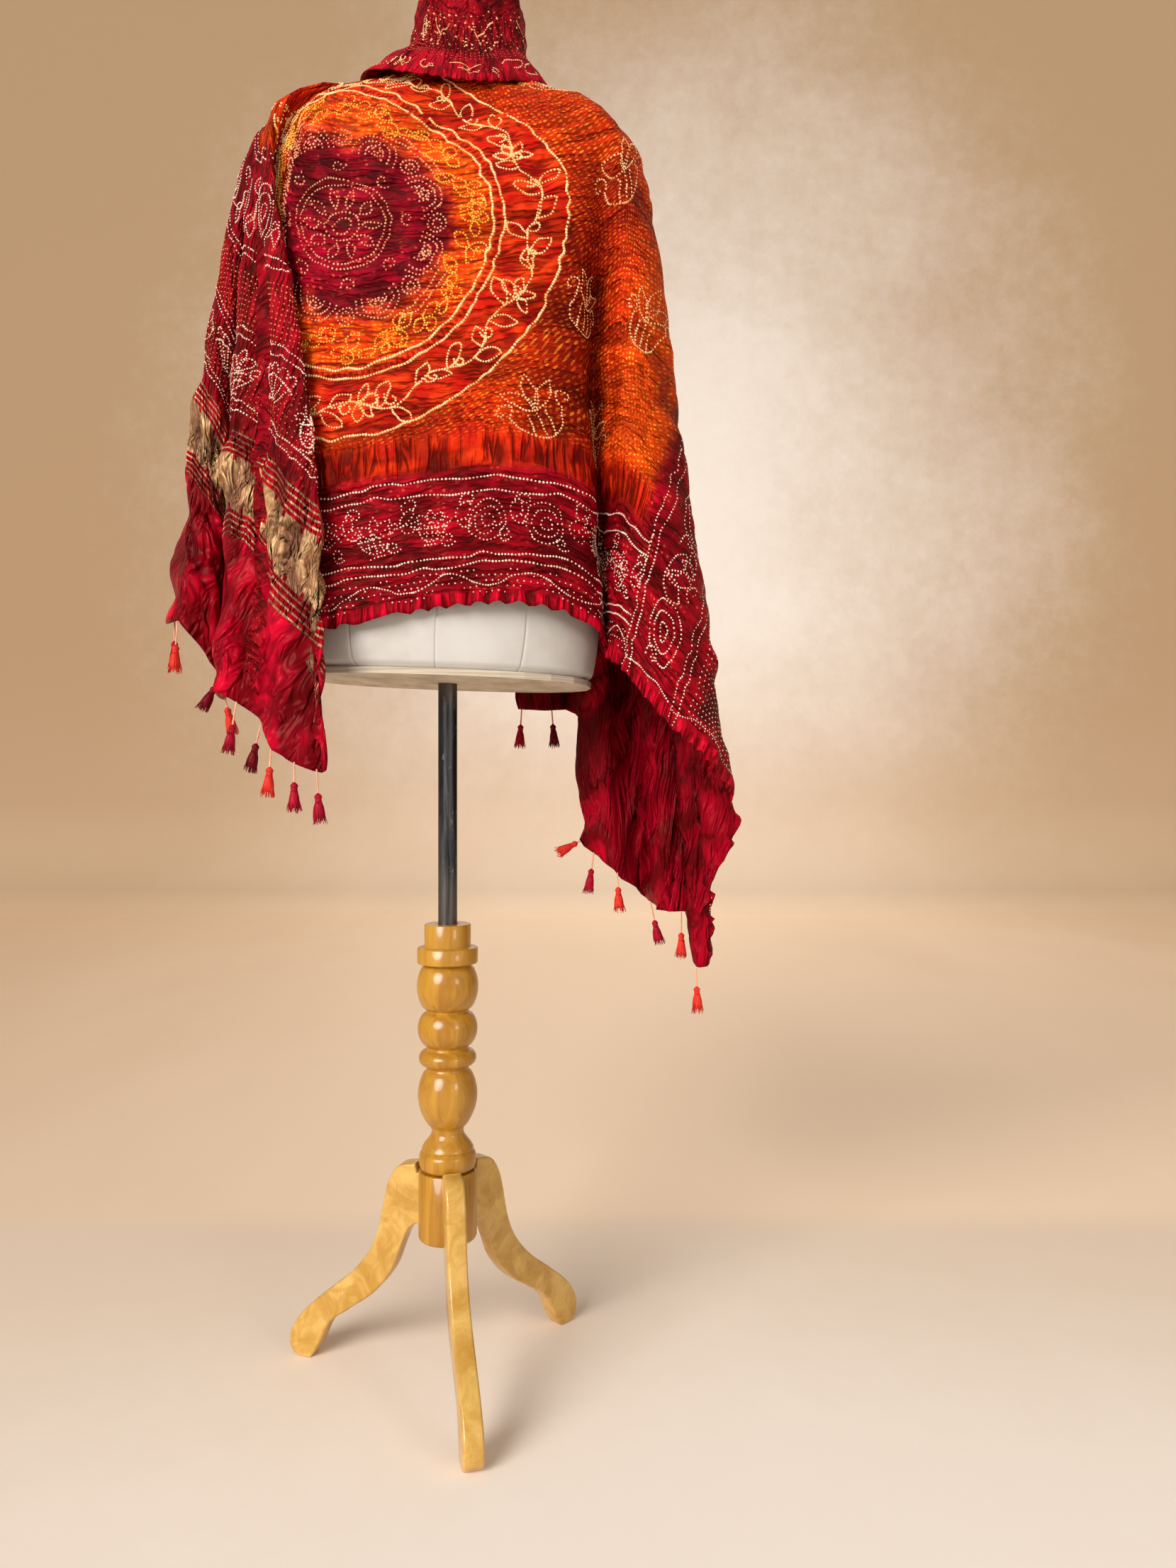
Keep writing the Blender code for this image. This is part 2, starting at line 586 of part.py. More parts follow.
def main():
    clear_scene()
    collection = bpy.data.collections.new("bandhani_shawl_on_dress_form")
    cutters = bpy.data.collections.new("cutters")
    cutters.hide_render = True
    for made in (collection, cutters):
        bpy.context.scene.collection.children.link(made)
    things = [
        make_shawl(collection),
        make_torso(collection),
        make_base_board(collection, cutters),
        make_neck_cap(collection),
        make_pole(collection),
        make_column(collection),
        make_hub(collection, cutters),
    ]
    things += [make_leg(name, degrees, collection) for name, degrees in LEG_ANGLES.items()]
    things += [make_tassel(i, tassel, collection) for i, tassel in enumerate(TASSELS)]
    root = bpy.data.objects.new("stand_axis", None)
    collection.objects.link(root)
    for thing in [*things, *cutters.objects]:
        thing.parent = root
    centre_on_origin(things, root)


main()
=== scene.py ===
"""A crinkled bandhani shawl on a dress form with a turned wooden tripod.

Units are metres, +Z is up, and the near side of the photograph is -Y. The cloth has two
sheet coordinates, also in metres: u runs along its length from the roundel's centre and v
across its width from the lower hem, so that every dot and line is drawn on the flat sheet
and then laid on the drape.
"""

import math
from collections import namedtuple

import bmesh
import bpy
import numpy as np
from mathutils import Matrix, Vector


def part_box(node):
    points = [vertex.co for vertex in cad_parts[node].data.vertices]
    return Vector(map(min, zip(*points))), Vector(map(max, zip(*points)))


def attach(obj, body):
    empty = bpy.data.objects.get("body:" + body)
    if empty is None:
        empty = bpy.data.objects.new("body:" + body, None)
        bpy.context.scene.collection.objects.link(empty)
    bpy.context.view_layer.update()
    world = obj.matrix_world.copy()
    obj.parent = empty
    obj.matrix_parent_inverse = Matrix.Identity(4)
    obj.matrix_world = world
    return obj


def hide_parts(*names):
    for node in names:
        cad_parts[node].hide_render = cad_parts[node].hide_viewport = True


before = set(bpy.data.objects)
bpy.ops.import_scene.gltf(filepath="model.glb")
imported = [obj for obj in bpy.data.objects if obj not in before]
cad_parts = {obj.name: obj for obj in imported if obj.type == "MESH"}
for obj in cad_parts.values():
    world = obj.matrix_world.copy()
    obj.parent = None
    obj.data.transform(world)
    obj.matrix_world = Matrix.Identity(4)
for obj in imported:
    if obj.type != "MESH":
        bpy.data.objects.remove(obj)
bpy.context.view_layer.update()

MM = 0.001
TAU = 2 * math.pi
pole_low, pole_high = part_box("pole")
AXIS = np.array([0.5 * (pole_low.x + pole_high.x), 0.5 * (pole_low.y + pole_high.y), 0.0])

LEAN = math.radians(2.0)
BASE_HEIGHT = 0.8190
BOARD_TOP = 0.8263

# The shawl's drape, a row per fold from the left front edge round the near side to the right
# front edge. neck and shoulder are plan angles in degrees, lift is how far the cloth stands
# off the shoulder, sway moves the middle of the drop and foot is the fold's end, in mm. The
# last four give the sheet's u and v where the fold leaves the shoulder and at its foot.
Fold = namedtuple(
    "Fold", "name neck shoulder lift sway_x sway_y foot_x foot_y foot_z ring_u foot_u ring_v foot_v"
)
FOLDS = (
    Fold("left_front_edge", 102, 106, 7, 0, 6, -52, 154, 1270, -580, -930, 900, 900),
    Fold("left_chest", 112, 120, 7, -2, 8, -120, 160, 1195, -540, -930, 810, 860),
    Fold("left_chest_valley", 123, 135, 8, -4, 4, -172, 126, 1130, -500, -930, 730, 810),
    Fold("left_side_flute", 134, 148, 14, -12, 10, -234, 144, 1055, -460, -930, 670, 750),
    Fold("left_side_valley", 145, 159, 22, -14, 2, -248, 88, 990, -420, -930, 620, 690),
    Fold("left_outer_flute", 156, 169, 34, -18, 4, -308, 70, 935, -370, -930, 580, 630),
    Fold("left_silhouette", 166, 178, 40, -20, 0, -323, 5, 890, -320, -930, 550, 560),
    Fold("left_strip", 174, 185, 36, -16, -4, -300, -66, 886, -260, -930, 530, 480),
    Fold("strip_return", 182, 189, 28, -20, 0, -266, -54, 850, -235, -930, 515, 420),
    Fold("strip_valley", 188, 190, 19, -24, 4, -250, -32, 800, -225, -930, 500, 360),
    Fold("panel_left", 194, 193, 24, -10, -18, -234, -112, 800, -220, -930, 480, 280),
    Fold("panel_valley", 200, 196, 25, 4, -12, -192, -116, 772, -215, -930, 460, 200),
    Fold("panel_crest", 206, 199, 28, 8, -22, -158, -152, 730, -215, -930, 440, 120),
    Fold("pleat_edge", 212, 202, 29, 15, -20, -110, -150, 713, -210, -930, 420, 40),
    Fold("pleat_return", 219, 201, 19, 0, -14, -168, -124, 780, -200, -720, 460, 0),
    Fold("pleat_root", 226, 199, 11, -14, -8, -224, -92, 835, -190, -520, 500, 0),
    Fold("under_panel", 233, 208, 7, -6, -10, -175, -92, 855, -49, -84, 545, 0),
    Fold("panel_start", 241, 224, 6, -2, -8, -118, -122, 866, 1, -27, 558, 0),
    Fold("back_left", 253, 246, 6, 0, -6, -55, -131, 878, 60, 36, 545, 0),
    Fold("back_middle", 267, 268, 6, 0, -6, 15, -134, 889, 107, 106, 540, 0),
    Fold("back_right", 281, 288, 6, 0, -6, 85, -131, 894, 150, 176, 535, 0),
    Fold("back_edge", 293, 305, 6, 2, -8, 150, -113, 884, 192, 241, 535, 0),
    Fold("recess_lip", 303, 320, 6, 0, -10, 179, -80, 866, 235, 270, 530, 0),
    Fold("recess", 311, 329, 6, -6, 6, 186, -30, 850, 255, 400, 520, 0),
    Fold("right_lip", 319, 334, 9, 4, -16, 203, -93, 828, 270, 490, 515, 0),
    Fold("right_near", 330, 341, 2, 6, -24, 258, -100, 762, 295, 600, 510, 0),
    Fold("right_turn", 341, 350, -3, 8, -14, 320, -56, 708, 315, 685, 505, 0),
    Fold("right_silhouette", 351, 358, -4, 2, 0, 342, 5, 640, 330, 760, 500, 0),
    Fold("tail_notch", 356, 362, -4, 12, 2, 315, 28, 574, 345, 830, 505, 0),
    Fold("tail_outer", 361, 367, -4, 6, 4, 317, 44, 482, 360, 925, 510, 0),
    Fold("tail_inner", 367, 372, -4, 4, 6, 300, 54, 474, 380, 930, 525, 30),
    Fold("tail_back", 374, 378, -2, 2, 8, 298, 90, 535, 400, 930, 540, 100),
    Fold("far_flute", 381, 385, 2, 0, 4, 262, 78, 540, 425, 930, 560, 170),
    Fold("far_crest", 388, 393, 6, 0, 12, 238, 134, 556, 450, 930, 590, 250),
    Fold("far_valley", 395, 401, 10, 0, 6, 200, 98, 590, 475, 930, 625, 330),
    Fold("far_turn", 402, 411, 10, 0, 14, 160, 124, 628, 505, 930, 665, 410),
    Fold("far_step", 409, 421, 9, 4, 10, 174, 154, 720, 535, 930, 710, 500),
    Fold("front_flute", 417, 431, 8, 4, 14, 150, 180, 795, 565, 930, 765, 600),
    Fold("front_valley", 425, 440, 7, 4, 12, 110, 152, 797, 600, 930, 825, 720),
    Fold("right_front_edge", 433, 448, 7, 4, 12, 74, 168, 800, 640, 930, 900, 900),
)
Collar = namedtuple("Collar", "name reach left_more height dip front_drop")
COLLAR = (
    Collar("flap_edge", 112, 13, 1516, 50, 14),
    Collar("flap", 92, 7, 1537, 38, 20),
    Collar("crease", 72, 2, 1559, 30, 28),
    Collar("outer_wrap", 66, 0, 1584, 8, 44),
    Collar("crest", 62, 0, 1613, 0, 52),
    Collar("inner_wrap", 57.5, 0, 1590, 0, 44),
    Collar("inner_low", 59, 0, 1545, 0, 12),
    Collar("neck_base", 68, 0, 1517, 8, 0),
)
YOKE_PLACE = 0.45
YOKE_ARCH = 0.0060
YOKE_ARCH_PER_LIFT = 0.1
RING_HALF_WIDTH = 0.1960
RING_NEAR = 0.1140
RING_FAR = 0.1420
RING_SQUARENESS = 2.5
RING_HEIGHT = 1.4580
RING_DROP_NEAR = 0.0520
RING_DROP_FAR = 0.1150
RING_DROP_POWER = 1.5
RING_RISE_PER_LIFT = 0.25
RING_ROW = 9
FOOT_ROW = 11

SHEET_LENGTH = 1.86
SHEET_WIDTH = 0.90
SHEET_THICKNESS = 0.0012
HEM_SPACING = 0.0066
END_SPACING = 0.0120
COLLAR_ROWS = 30
DROP_ROWS = 110
CREST_ROW = 4

# Places on the flat sheet.
ROUNDEL_V = 0.427
BORDER_V = 0.146
RIGHT_END_U = 0.495
LEFT_END_U = -0.285
GOLD_U = (-0.745, -0.625)
SLANT = 0.20
SKEW_START = 0.30
SKEW = 0.32


def through(points, places):
    """Centripetal Catmull-Rom curve through the first axis of points, read at places.

    Between two points it is the cubic whose end slopes come from the neighbours, weighted
    by the square root of the distances.
    """
    ends = np.concatenate([2 * points[:1] - points[1:2], points, 2 * points[-1:] - points[-2:-1]])
    first = np.clip(np.floor(places).astype(int), 0, len(points) - 2)
    shape = (-1,) + (1,) * (points.ndim - 1)
    s = (np.asarray(places) - first).reshape(shape)
    p0, p1, p2, p3 = (ends[first + k] for k in range(4))

    def knot(a, b):
        return np.sqrt(np.linalg.norm(b - a, axis=-1, keepdims=True)) + 1e-6

    k0, k1, k2 = knot(p0, p1), knot(p1, p2), knot(p2, p3)
    slope_1 = k1 * ((p1 - p0) / k0 - (p2 - p0) / (k0 + k1) + (p2 - p1) / k1)
    slope_2 = k1 * ((p2 - p1) / k1 - (p3 - p1) / (k1 + k2) + (p3 - p2) / k2)
    return (
        p1 * (2 * s**3 - 3 * s**2 + 1)
        + slope_1 * (s**3 - 2 * s**2 + s)
        + p2 * (3 * s**2 - 2 * s**3)
        + slope_2 * (s**3 - s**2)
    )


def leaned(points):
    """Points of the form's upright frame, turned with it about the middle of its base."""
    x, y, z = points[..., 0], points[..., 1], points[..., 2] - BASE_HEIGHT
    c, s = math.cos(LEAN), math.sin(LEAN)
    return np.stack([c * x + s * z, y, c * z - s * x + BASE_HEIGHT], axis=-1)


def oval(angle, half_width, near, far, squareness):
    """Distance from the axis to a superellipse whose near and far halves have their own depth."""
    c, s = np.cos(angle), np.sin(angle)
    depth = np.where(s < 0, near, far)
    return (np.abs(c / half_width) ** squareness + np.abs(s / depth) ** squareness) ** (-1 / squareness)


def fold_controls(fold):
    """One fold's points from the collar's edge to the hem: collar, yoke, ring, middle and foot."""
    neck = math.radians(fold.neck)
    turn = math.sin(neck) ** 2
    front = max(0.0, math.sin(neck)) ** 4
    collar = []
    for c in COLLAR:
        reach = c.reach - c.left_more * math.cos(neck)
        height = c.height - c.dip * turn - c.front_drop * front
        collar.append((reach * math.cos(neck) * MM, reach * math.sin(neck) * MM, height * MM))
    angle = math.radians(fold.shoulder)
    reach = float(oval(angle, RING_HALF_WIDTH, RING_NEAR, RING_FAR, RING_SQUARENESS)) + fold.lift * MM
    drop = RING_DROP_NEAR if math.sin(angle) < 0 else RING_DROP_FAR
    height = RING_HEIGHT - drop * abs(math.sin(angle)) ** RING_DROP_POWER
    height += RING_RISE_PER_LIFT * fold.lift * MM
    ring = np.array((reach * math.cos(angle), reach * math.sin(angle), height))
    yoke = (1 - YOKE_PLACE) * np.array(collar[-1]) + YOKE_PLACE * ring
    yoke[2] += YOKE_ARCH + YOKE_ARCH_PER_LIFT * max(0.0, fold.lift) * MM
    upper = leaned(np.array([*collar, yoke, ring]))
    foot = np.array([fold.foot_x, fold.foot_y, fold.foot_z]) * MM
    sway = np.array([fold.sway_x, fold.sway_y, 0.0]) * MM
    middle = 0.5 * (upper[-1] + foot) + sway
    return np.vstack([upper, middle, foot])


def drape(columns, rows):
    """The sheet's middle surface in the row frame: rows down the folds, columns round the body."""
    controls = np.array([fold_controls(fold) for fold in FOLDS])
    across = through(controls, columns)
    return through(np.swapaxes(across, 0, 1), rows) + AXIS


def column_places():
    """Columns of the fine grid: each fold takes what its length of hem needs, most at the frill."""
    feet = np.array([[f.foot_x, f.foot_y, f.foot_z] for f in FOLDS]) * MM
    gaps = np.linalg.norm(np.diff(feet, axis=0), axis=1)
    frilled = np.array([f.foot_v < 50 for f in FOLDS[1:]])
    counts = np.ceil(gaps / np.where(frilled, HEM_SPACING, END_SPACING)).astype(int)
    counts = np.maximum(5, counts)
    steps = [k + np.arange(n) / n for k, n in enumerate(counts)]
    return np.append(np.concatenate(steps), len(FOLDS) - 1)


def lattice_noise(x, y, seed):
    """Smooth noise from -1 to 1: random values on whole numbers, blended by 3t^2 - 2t^3."""
    values = np.random.default_rng(seed).uniform(-1, 1, (256, 256))
    i, j = np.floor(x).astype(int), np.floor(y).astype(int)
    s, t = x - i, y - j
    s, t = s * s * (3 - 2 * s), t * t * (3 - 2 * t)
    i, j = i % 256, j % 256
    i1, j1 = (i + 1) % 256, (j + 1) % 256
    low = values[i, j] * (1 - s) + values[i1, j] * s
    high = values[i, j1] * (1 - s) + values[i1, j1] * s
    return low * (1 - t) + high * t


def ramp(x, start, end):
    """0 before start, 1 after end, smooth between them."""
    t = np.clip((x - start) / (end - start), 0, 1)
    return t * t * (3 - 2 * t)


def grid_normals(points):
    """Unit normals of a grid: the cross product of its two directions of travel, down then along."""
    normal = np.cross(np.gradient(points, axis=0), np.gradient(points, axis=1))
    return normal / np.maximum(np.linalg.norm(normal, axis=-1, keepdims=True), 1e-9)


def sheet_places(points, columns, rows):
    """u and v over the grid: from the collar's edge to the ring and from there to the foot.

    Along each half the sheet is laid out evenly by the distance down the column.
    """
    table = np.array([[f.ring_u, f.foot_u, f.ring_v, f.foot_v] for f in FOLDS]) * MM
    ring_u, foot_u, ring_v, foot_v = (np.interp(columns, np.arange(len(FOLDS)), c) for c in table.T)
    steps = np.linalg.norm(np.diff(points, axis=0), axis=-1)
    down = np.vstack([np.zeros(len(columns)), np.cumsum(steps, axis=0)])
    at_ring = int(np.argmin(np.abs(rows - RING_ROW)))
    upper = np.clip(down / down[at_ring], 0, 1)
    lower = np.clip((down - down[at_ring]) / (down[-1] - down[at_ring]), 0, 1)
    u = ring_u + (foot_u - ring_u) * lower
    v = SHEET_WIDTH + (ring_v - SHEET_WIDTH) * upper + (foot_v - ring_v) * lower
    return u, v


def puffs(x, y, seed):
    """Rounded ridges with sharp valleys, from -0.8 to 1.2: twice the size of smooth noise, less 0.8."""
    return 2 * np.abs(lattice_noise(x, y, seed)) - 0.8


def frill_phase(u):
    """Where along its wave the crimped hem is, in turns."""
    return u / 0.0260 + 0.9 * lattice_noise(u / 0.06, 0 * u, 5)


def crinkle(u, v):
    """Height of the crinkles in metres, and as a share of what is usual in that part.

    Fine puffs along the length and softer waves across it: a sum of stretched noise, with a
    crimped frill along both hems, crumpled folds in the gold band, falling folds in the plain
    satin past it, and loose creases at the right end.
    """
    warp = 0.006 * lattice_noise(u / 0.05, v / 0.05, 3)
    fine = 0.0020 * puffs(u / 0.036, (v + warp) / 0.0165, 1)
    broad = 0.0028 * lattice_noise(u / 0.070, (v + 2 * warp) / 0.024, 2)
    hem = np.minimum(v, SHEET_WIDTH - v)
    frill = (0.0040 + 0.0016 * lattice_noise(u / 0.05, 0 * u, 6)) * np.sin(TAU * frill_phase(u))
    frill *= 1 - ramp(hem, 0.003, 0.024)
    along = u + SKEW * np.maximum(0, SKEW_START - v)
    satin = ramp(-along, 0.735, 0.80)
    falling = 0.0085 * lattice_noise(v / 0.040 + 2 * warp / 0.034, along / 0.16, 7)
    slanting = 0.0062 * puffs((along + 0.9 * v) / 0.075, (v - 0.9 * along) / 0.044, 8)
    gold = ramp(-along, 0.59, 0.65) * (1 - ramp(-along, 0.75, 0.80))
    crumple = 0.0085 * puffs((along + 0.3 * v) / 0.070, (v - 0.35 * along) / 0.023, 13)
    strip = np.exp(-(((v - 0.165) / 0.02) ** 4))
    pleats = 0.0012 * strip * lattice_noise(u / 0.012, v / 0.05, 9)
    right = ramp(u, 0.52, 0.70)
    loose = 0.0068 * puffs((u - 0.9 * v) / 0.030, (v + 0.5 * u) / 0.060, 11)
    plain = (1 - 0.8 * satin) * (1 - 0.3 * right) * (1 - 0.6 * gold)
    relief = np.maximum(fine + broad, -0.0036) * plain + frill + pleats
    relief += satin * (falling + slanting) + gold * crumple + right * loose
    usual = 0.0025 + 0.0032 * satin + 0.0016 * gold + 0.0012 * right
    return relief, relief / usual


class Cloth:
    """The draped sheet on a fine grid, and the way from a place on the flat sheet to it.

    Its normals point to the side that shows: outwards, and so to the sheet's reverse where
    the collar is turned over.
    """

    def __init__(self):
        self.columns = column_places()
        upper = np.linspace(0, RING_ROW, COLLAR_ROWS, endpoint=False)
        lower = np.linspace(RING_ROW, FOOT_ROW, DROP_ROWS)
        self.rows = np.concatenate([upper, lower])
        smooth = drape(self.columns, self.rows)
        self.u, self.v = sheet_places(smooth, self.columns, self.rows)
        height, self.rise = crinkle(self.u, self.v)
        free = ramp(np.arange(len(self.rows))[:, None] * 1.0, -1, 3)
        self.points = smooth + grid_normals(smooth) * (height * free)[..., None]
        down = np.gradient(smooth, axis=0)
        down /= np.maximum(np.linalg.norm(down, axis=-1, keepdims=True), 1e-9)
        scallop = 0.0018 * np.cos(TAU * frill_phase(self.u) + 0.9) * (1 - ramp(self.v, 0.0, 0.02))
        self.points += down * scallop[..., None]
        showing = np.where(self.rows < CREST_ROW, -1.0, 1.0)[:, None, None]
        self.normals = grid_normals(self.points) * showing

    def at(self, values, i, j):
        """Bilinear reading of a grid at row i and column j."""
        i0 = np.clip(np.floor(i).astype(int), 0, values.shape[0] - 2)
        j0 = np.clip(np.floor(j).astype(int), 0, values.shape[1] - 2)
        s, t = i - i0, j - j0
        if values.ndim == 3:
            s, t = s[:, None], t[:, None]
        low = values[i0, j0] * (1 - t) + values[i0, j0 + 1] * t
        high = values[i0 + 1, j0] * (1 - t) + values[i0 + 1, j0 + 1] * t
        return low * (1 - s) + high * s

    def find(self, u, v):
        """Grid rows and columns of places on the flat sheet, and how far off each one is.

        Starts from the nearest of every fourth grid point and follows Newton's steps.
        """
        step = 4
        cu, cv = self.u[::step, ::step], self.v[::step, ::step]
        flat = np.stack([cu.ravel(), cv.ravel()])
        nearest = np.empty(len(u), int)
        for start in range(0, len(u), 4000):
            part = slice(start, start + 4000)
            gap = (u[part, None] - flat[0]) ** 2 + (v[part, None] - flat[1]) ** 2
            nearest[part] = gap.argmin(axis=1)
        i, j = (step * k.astype(float) for k in np.divmod(nearest, cu.shape[1]))
        last_i, last_j = self.u.shape[0] - 1, self.u.shape[1] - 1
        for _ in range(16):
            i0 = np.clip(np.floor(i).astype(int), 0, last_i - 1)
            j0 = np.clip(np.floor(j).astype(int), 0, last_j - 1)
            ui, uj = self.u[i0 + 1, j0] - self.u[i0, j0], self.u[i0, j0 + 1] - self.u[i0, j0]
            vi, vj = self.v[i0 + 1, j0] - self.v[i0, j0], self.v[i0, j0 + 1] - self.v[i0, j0]
            det = ui * vj - uj * vi
            det = np.where(np.abs(det) < 1e-9, 1e-9, det)
            du, dv = u - self.at(self.u, i, j), v - self.at(self.v, i, j)
            i = np.clip(i + np.clip((du * vj - dv * uj) / det, -6, 6), 0, last_i)
            j = np.clip(j + np.clip((dv * ui - du * vi) / det, -6, 6), 0, last_j)
        miss = np.hypot(u - self.at(self.u, i, j), v - self.at(self.v, i, j))
        return i, j, miss


def mesh_object(name, points, faces):
    """A smooth shaded mesh object that rides on the model's one body."""
    mesh = bpy.data.meshes.new(name)
    mesh.from_pydata(points.reshape(-1, 3), [], faces)
    mesh.shade_smooth()
    made = bpy.data.objects.new(name, mesh)
    bpy.context.scene.collection.objects.link(made)
    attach(made, "root")
    return made


def finish(made, slot_name, node, *shades):
    """Gives a piece its materials, and hides the node of the solids that it replaces; slot_name is not
    used.
    """
    for shade in shades:
        made.data.materials.append(shade)
    if node:
        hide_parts(node)


def grid_faces(rows, columns, ring=False):
    """Quads between neighbouring rows and columns; ring joins the last column to the first."""
    i = np.arange(rows - 1)[:, None]
    j = np.arange(columns if ring else columns - 1)[None, :]
    k = (j + 1) % columns
    return np.stack(
        [i * columns + j, i * columns + k, (i + 1) * columns + k, (i + 1) * columns + j], axis=-1
    ).reshape(-1, 4)


def put_uv(mesh, places):
    """Gives each corner of the mesh the flat place of its vertex."""
    corner = np.empty(len(mesh.loops), int)
    mesh.loops.foreach_get("vertex_index", corner)
    layer = mesh.uv_layers.new(name="sheet")
    layer.data.foreach_set("uv", places[corner].ravel())


def make_cloth(cloth, silk):
    """The sheet: its fine grid, given half its thickness to each side."""
    rows, columns = cloth.u.shape
    faces = grid_faces(rows, columns)[:, ::-1]
    shawl = mesh_object("bandhani_shawl", cloth.points, faces.tolist())
    put_uv(shawl.data, np.stack([cloth.u, cloth.v], axis=-1).reshape(-1, 2))
    rise = shawl.data.attributes.new("rise", "FLOAT", "POINT")
    rise.data.foreach_set("value", np.clip(cloth.rise, -1.5, 1.5).ravel())
    solid = shawl.modifiers.new("cloth", "SOLIDIFY")
    solid.thickness = SHEET_THICKNESS
    solid.offset = 0.0
    finish(shawl, "silk", "shawl", silk)
    return shawl


# Curves on the flat sheet. Each returns points (n, 2) in metres.
def circle(u, v, radius, start=0.0, end=TAU, count=160, tall=1.0):
    """Points at radius from a centre, tall times as high as wide."""
    a = np.linspace(start, end, count)
    return np.stack([u + radius * np.cos(a), v + tall * radius * np.sin(a)], axis=-1)


def line(*corners):
    """Straight runs from corner to corner."""
    return np.array(corners, dtype=float)


def placed(curve, u, v, turn=0.0, size=1.0, flip=1.0, wide=1.0):
    """A motif's curve scaled, flipped, turned by an angle, widened along u and moved to its place."""
    c, s = math.cos(turn), math.sin(turn)
    x, y = size * curve[:, 0], size * flip * curve[:, 1]
    return np.stack([u + wide * (c * x - s * y), v + s * x + c * y], axis=-1)


def leaf(length, width):
    """An almond: a half sine wave out and another back."""
    t = np.linspace(0, 1, 16)
    side = 0.5 * width * np.sin(math.pi * t) ** 0.8
    out = np.stack([length * t, side], axis=-1)
    return np.vstack([out, out[::-1] * [1, -1]])


def curl(size, turns=0.9):
    """A tendril: a spiral whose radius shrinks as it turns."""
    a = np.linspace(0, turns * TAU, 30)
    radius = size * (1 - 0.75 * a / a[-1])
    return np.stack([size - radius * np.cos(a), radius * np.sin(a)], axis=-1)


def flower_vase(size, simple=False):
    """A small figure in line: a footed bowl with hatching, petals above it and two side curls.

    The simple one, for the field, has no rim, band or foot.
    """
    bowl = circle(0, 0, 0.45 * size, math.pi, TAU, 30, 1.15)
    hatch = [line((x * size, -0.02 * size), (x * size, -0.44 * size)) for x in (-0.18, 0.02, 0.2)]
    petals = [placed(leaf(0.62 * size, 0.26 * size), 0, 0.04 * size, a) for a in (0.75, 1.5, 2.4)]
    curls = [
        placed(curl(0.17 * size), 0.42 * size, 0.05 * size, 0.5),
        placed(curl(0.17 * size), -0.42 * size, 0.05 * size, math.pi - 0.5, flip=-1.0),
    ]
    if simple:
        return [bowl, *hatch, *petals, *curls]
    rim = line((-0.5 * size, 0), (0.5 * size, 0))
    band = line((-0.4 * size, -0.2 * size), (0.4 * size, -0.23 * size))
    foot = line((-0.2 * size, -0.62 * size), (0.2 * size, -0.62 * size))
    return [bowl, rim, *hatch, band, *petals, *curls, foot]


def fan(size):
    """A fan: two arcs, ribs between them and rounded lobes along the outer one."""
    def out(reach, a):
        return reach * size * math.cos(a), reach * size * math.sin(a)

    inner = circle(0, 0, 0.3 * size, 0.25 * math.pi, 0.75 * math.pi, 14)
    outer = circle(0, 0, 0.78 * size, 0.2 * math.pi, 0.8 * math.pi, 30)
    angles = np.linspace(0.25, 0.75, 6) * math.pi
    ribs = [line(out(0.3, a), out(0.76, a)) for a in angles]
    lobes = [circle(*out(0.88, a), 0.13 * size, a - 0.5 * math.pi, a + 0.5 * math.pi, 10)
             for a in 0.5 * (angles[1:] + angles[:-1])]
    return [inner, outer, *ribs, *lobes]


def ringed_oval(size, tall):
    """Three ovals, one inside the other."""
    return [circle(0, 0, size * k, count=40, tall=tall) for k in (1.0, 0.68, 0.3)]


def wave(start, end, middle, height, pitch):
    """A sine wave along u."""
    u = np.linspace(start, end, max(8, int(abs(end - start) / 0.004)))
    return np.stack([u, middle + height * np.sin(TAU * (u / pitch))], axis=-1)


def dots_along(curve, spacing):
    """Points at even distances along a curve."""
    steps = np.linalg.norm(np.diff(curve, axis=0), axis=1)
    length = np.concatenate([[0], np.cumsum(steps)])
    places = np.linspace(0, length[-1], max(2, int(round(length[-1] / spacing)) + 1))
    return np.stack([np.interp(places, length, curve[:, k]) for k in range(2)], axis=-1)


Dots = namedtuple("Dots", "places radius")
LINE_PULL = 0.0024


def strung(curves, spacing, radius):
    """Dots of one size along many curves, each pulled off its line by the crinkles.

    The pull is 2.4 mm times smooth noise, in u and in v, so lines side by side bend together.
    """
    places = np.vstack([dots_along(curve, spacing) for curve in curves])
    pull = [lattice_noise(places[:, 0] / 0.016, places[:, 1] / 0.009, seed) for seed in (41, 42)]
    return Dots(places + LINE_PULL * np.stack(pull, axis=-1), radius)


def at_angle(angle, radius):
    """A point of the roundel at an angle and a radius from its centre."""
    return radius * math.cos(angle), ROUNDEL_V + radius * math.sin(angle)


def slanted(lines):
    """Lines of the roundel laid as the dyer stretched it: its upper right part pulled down.

    The shift down is 0.2 of u, growing smoothly from the roundel's middle to 0.15 m above it.
    """
    laid = []
    for curve in lines:
        v = curve[:, 1].copy()
        for _ in range(8):
            v = curve[:, 1] - SLANT * np.maximum(curve[:, 0], 0) * ramp(v, ROUNDEL_V, ROUNDEL_V + 0.15)
        laid.append(np.stack([curve[:, 0], v], axis=-1))
    return laid


MIDDLE = (0.0, ROUNDEL_V)
RING_RADII = (0.228, 0.165, 0.154)
CREEPER_RADIUS = 0.1965
CREEPER_SWING = 0.0080
CREEPER_WAVES = 13
CREEPER_LEAVES = 58
VINE_SPRAYS = 28
CORE_ARCS = 8
CORE_PETALS = 10
# The leaves in each arc of the roundel's core: length and turn from the way outward.
CORE_SPRAY = ((0.011, -1.0), (0.014, 0.0), (0.011, 1.0))


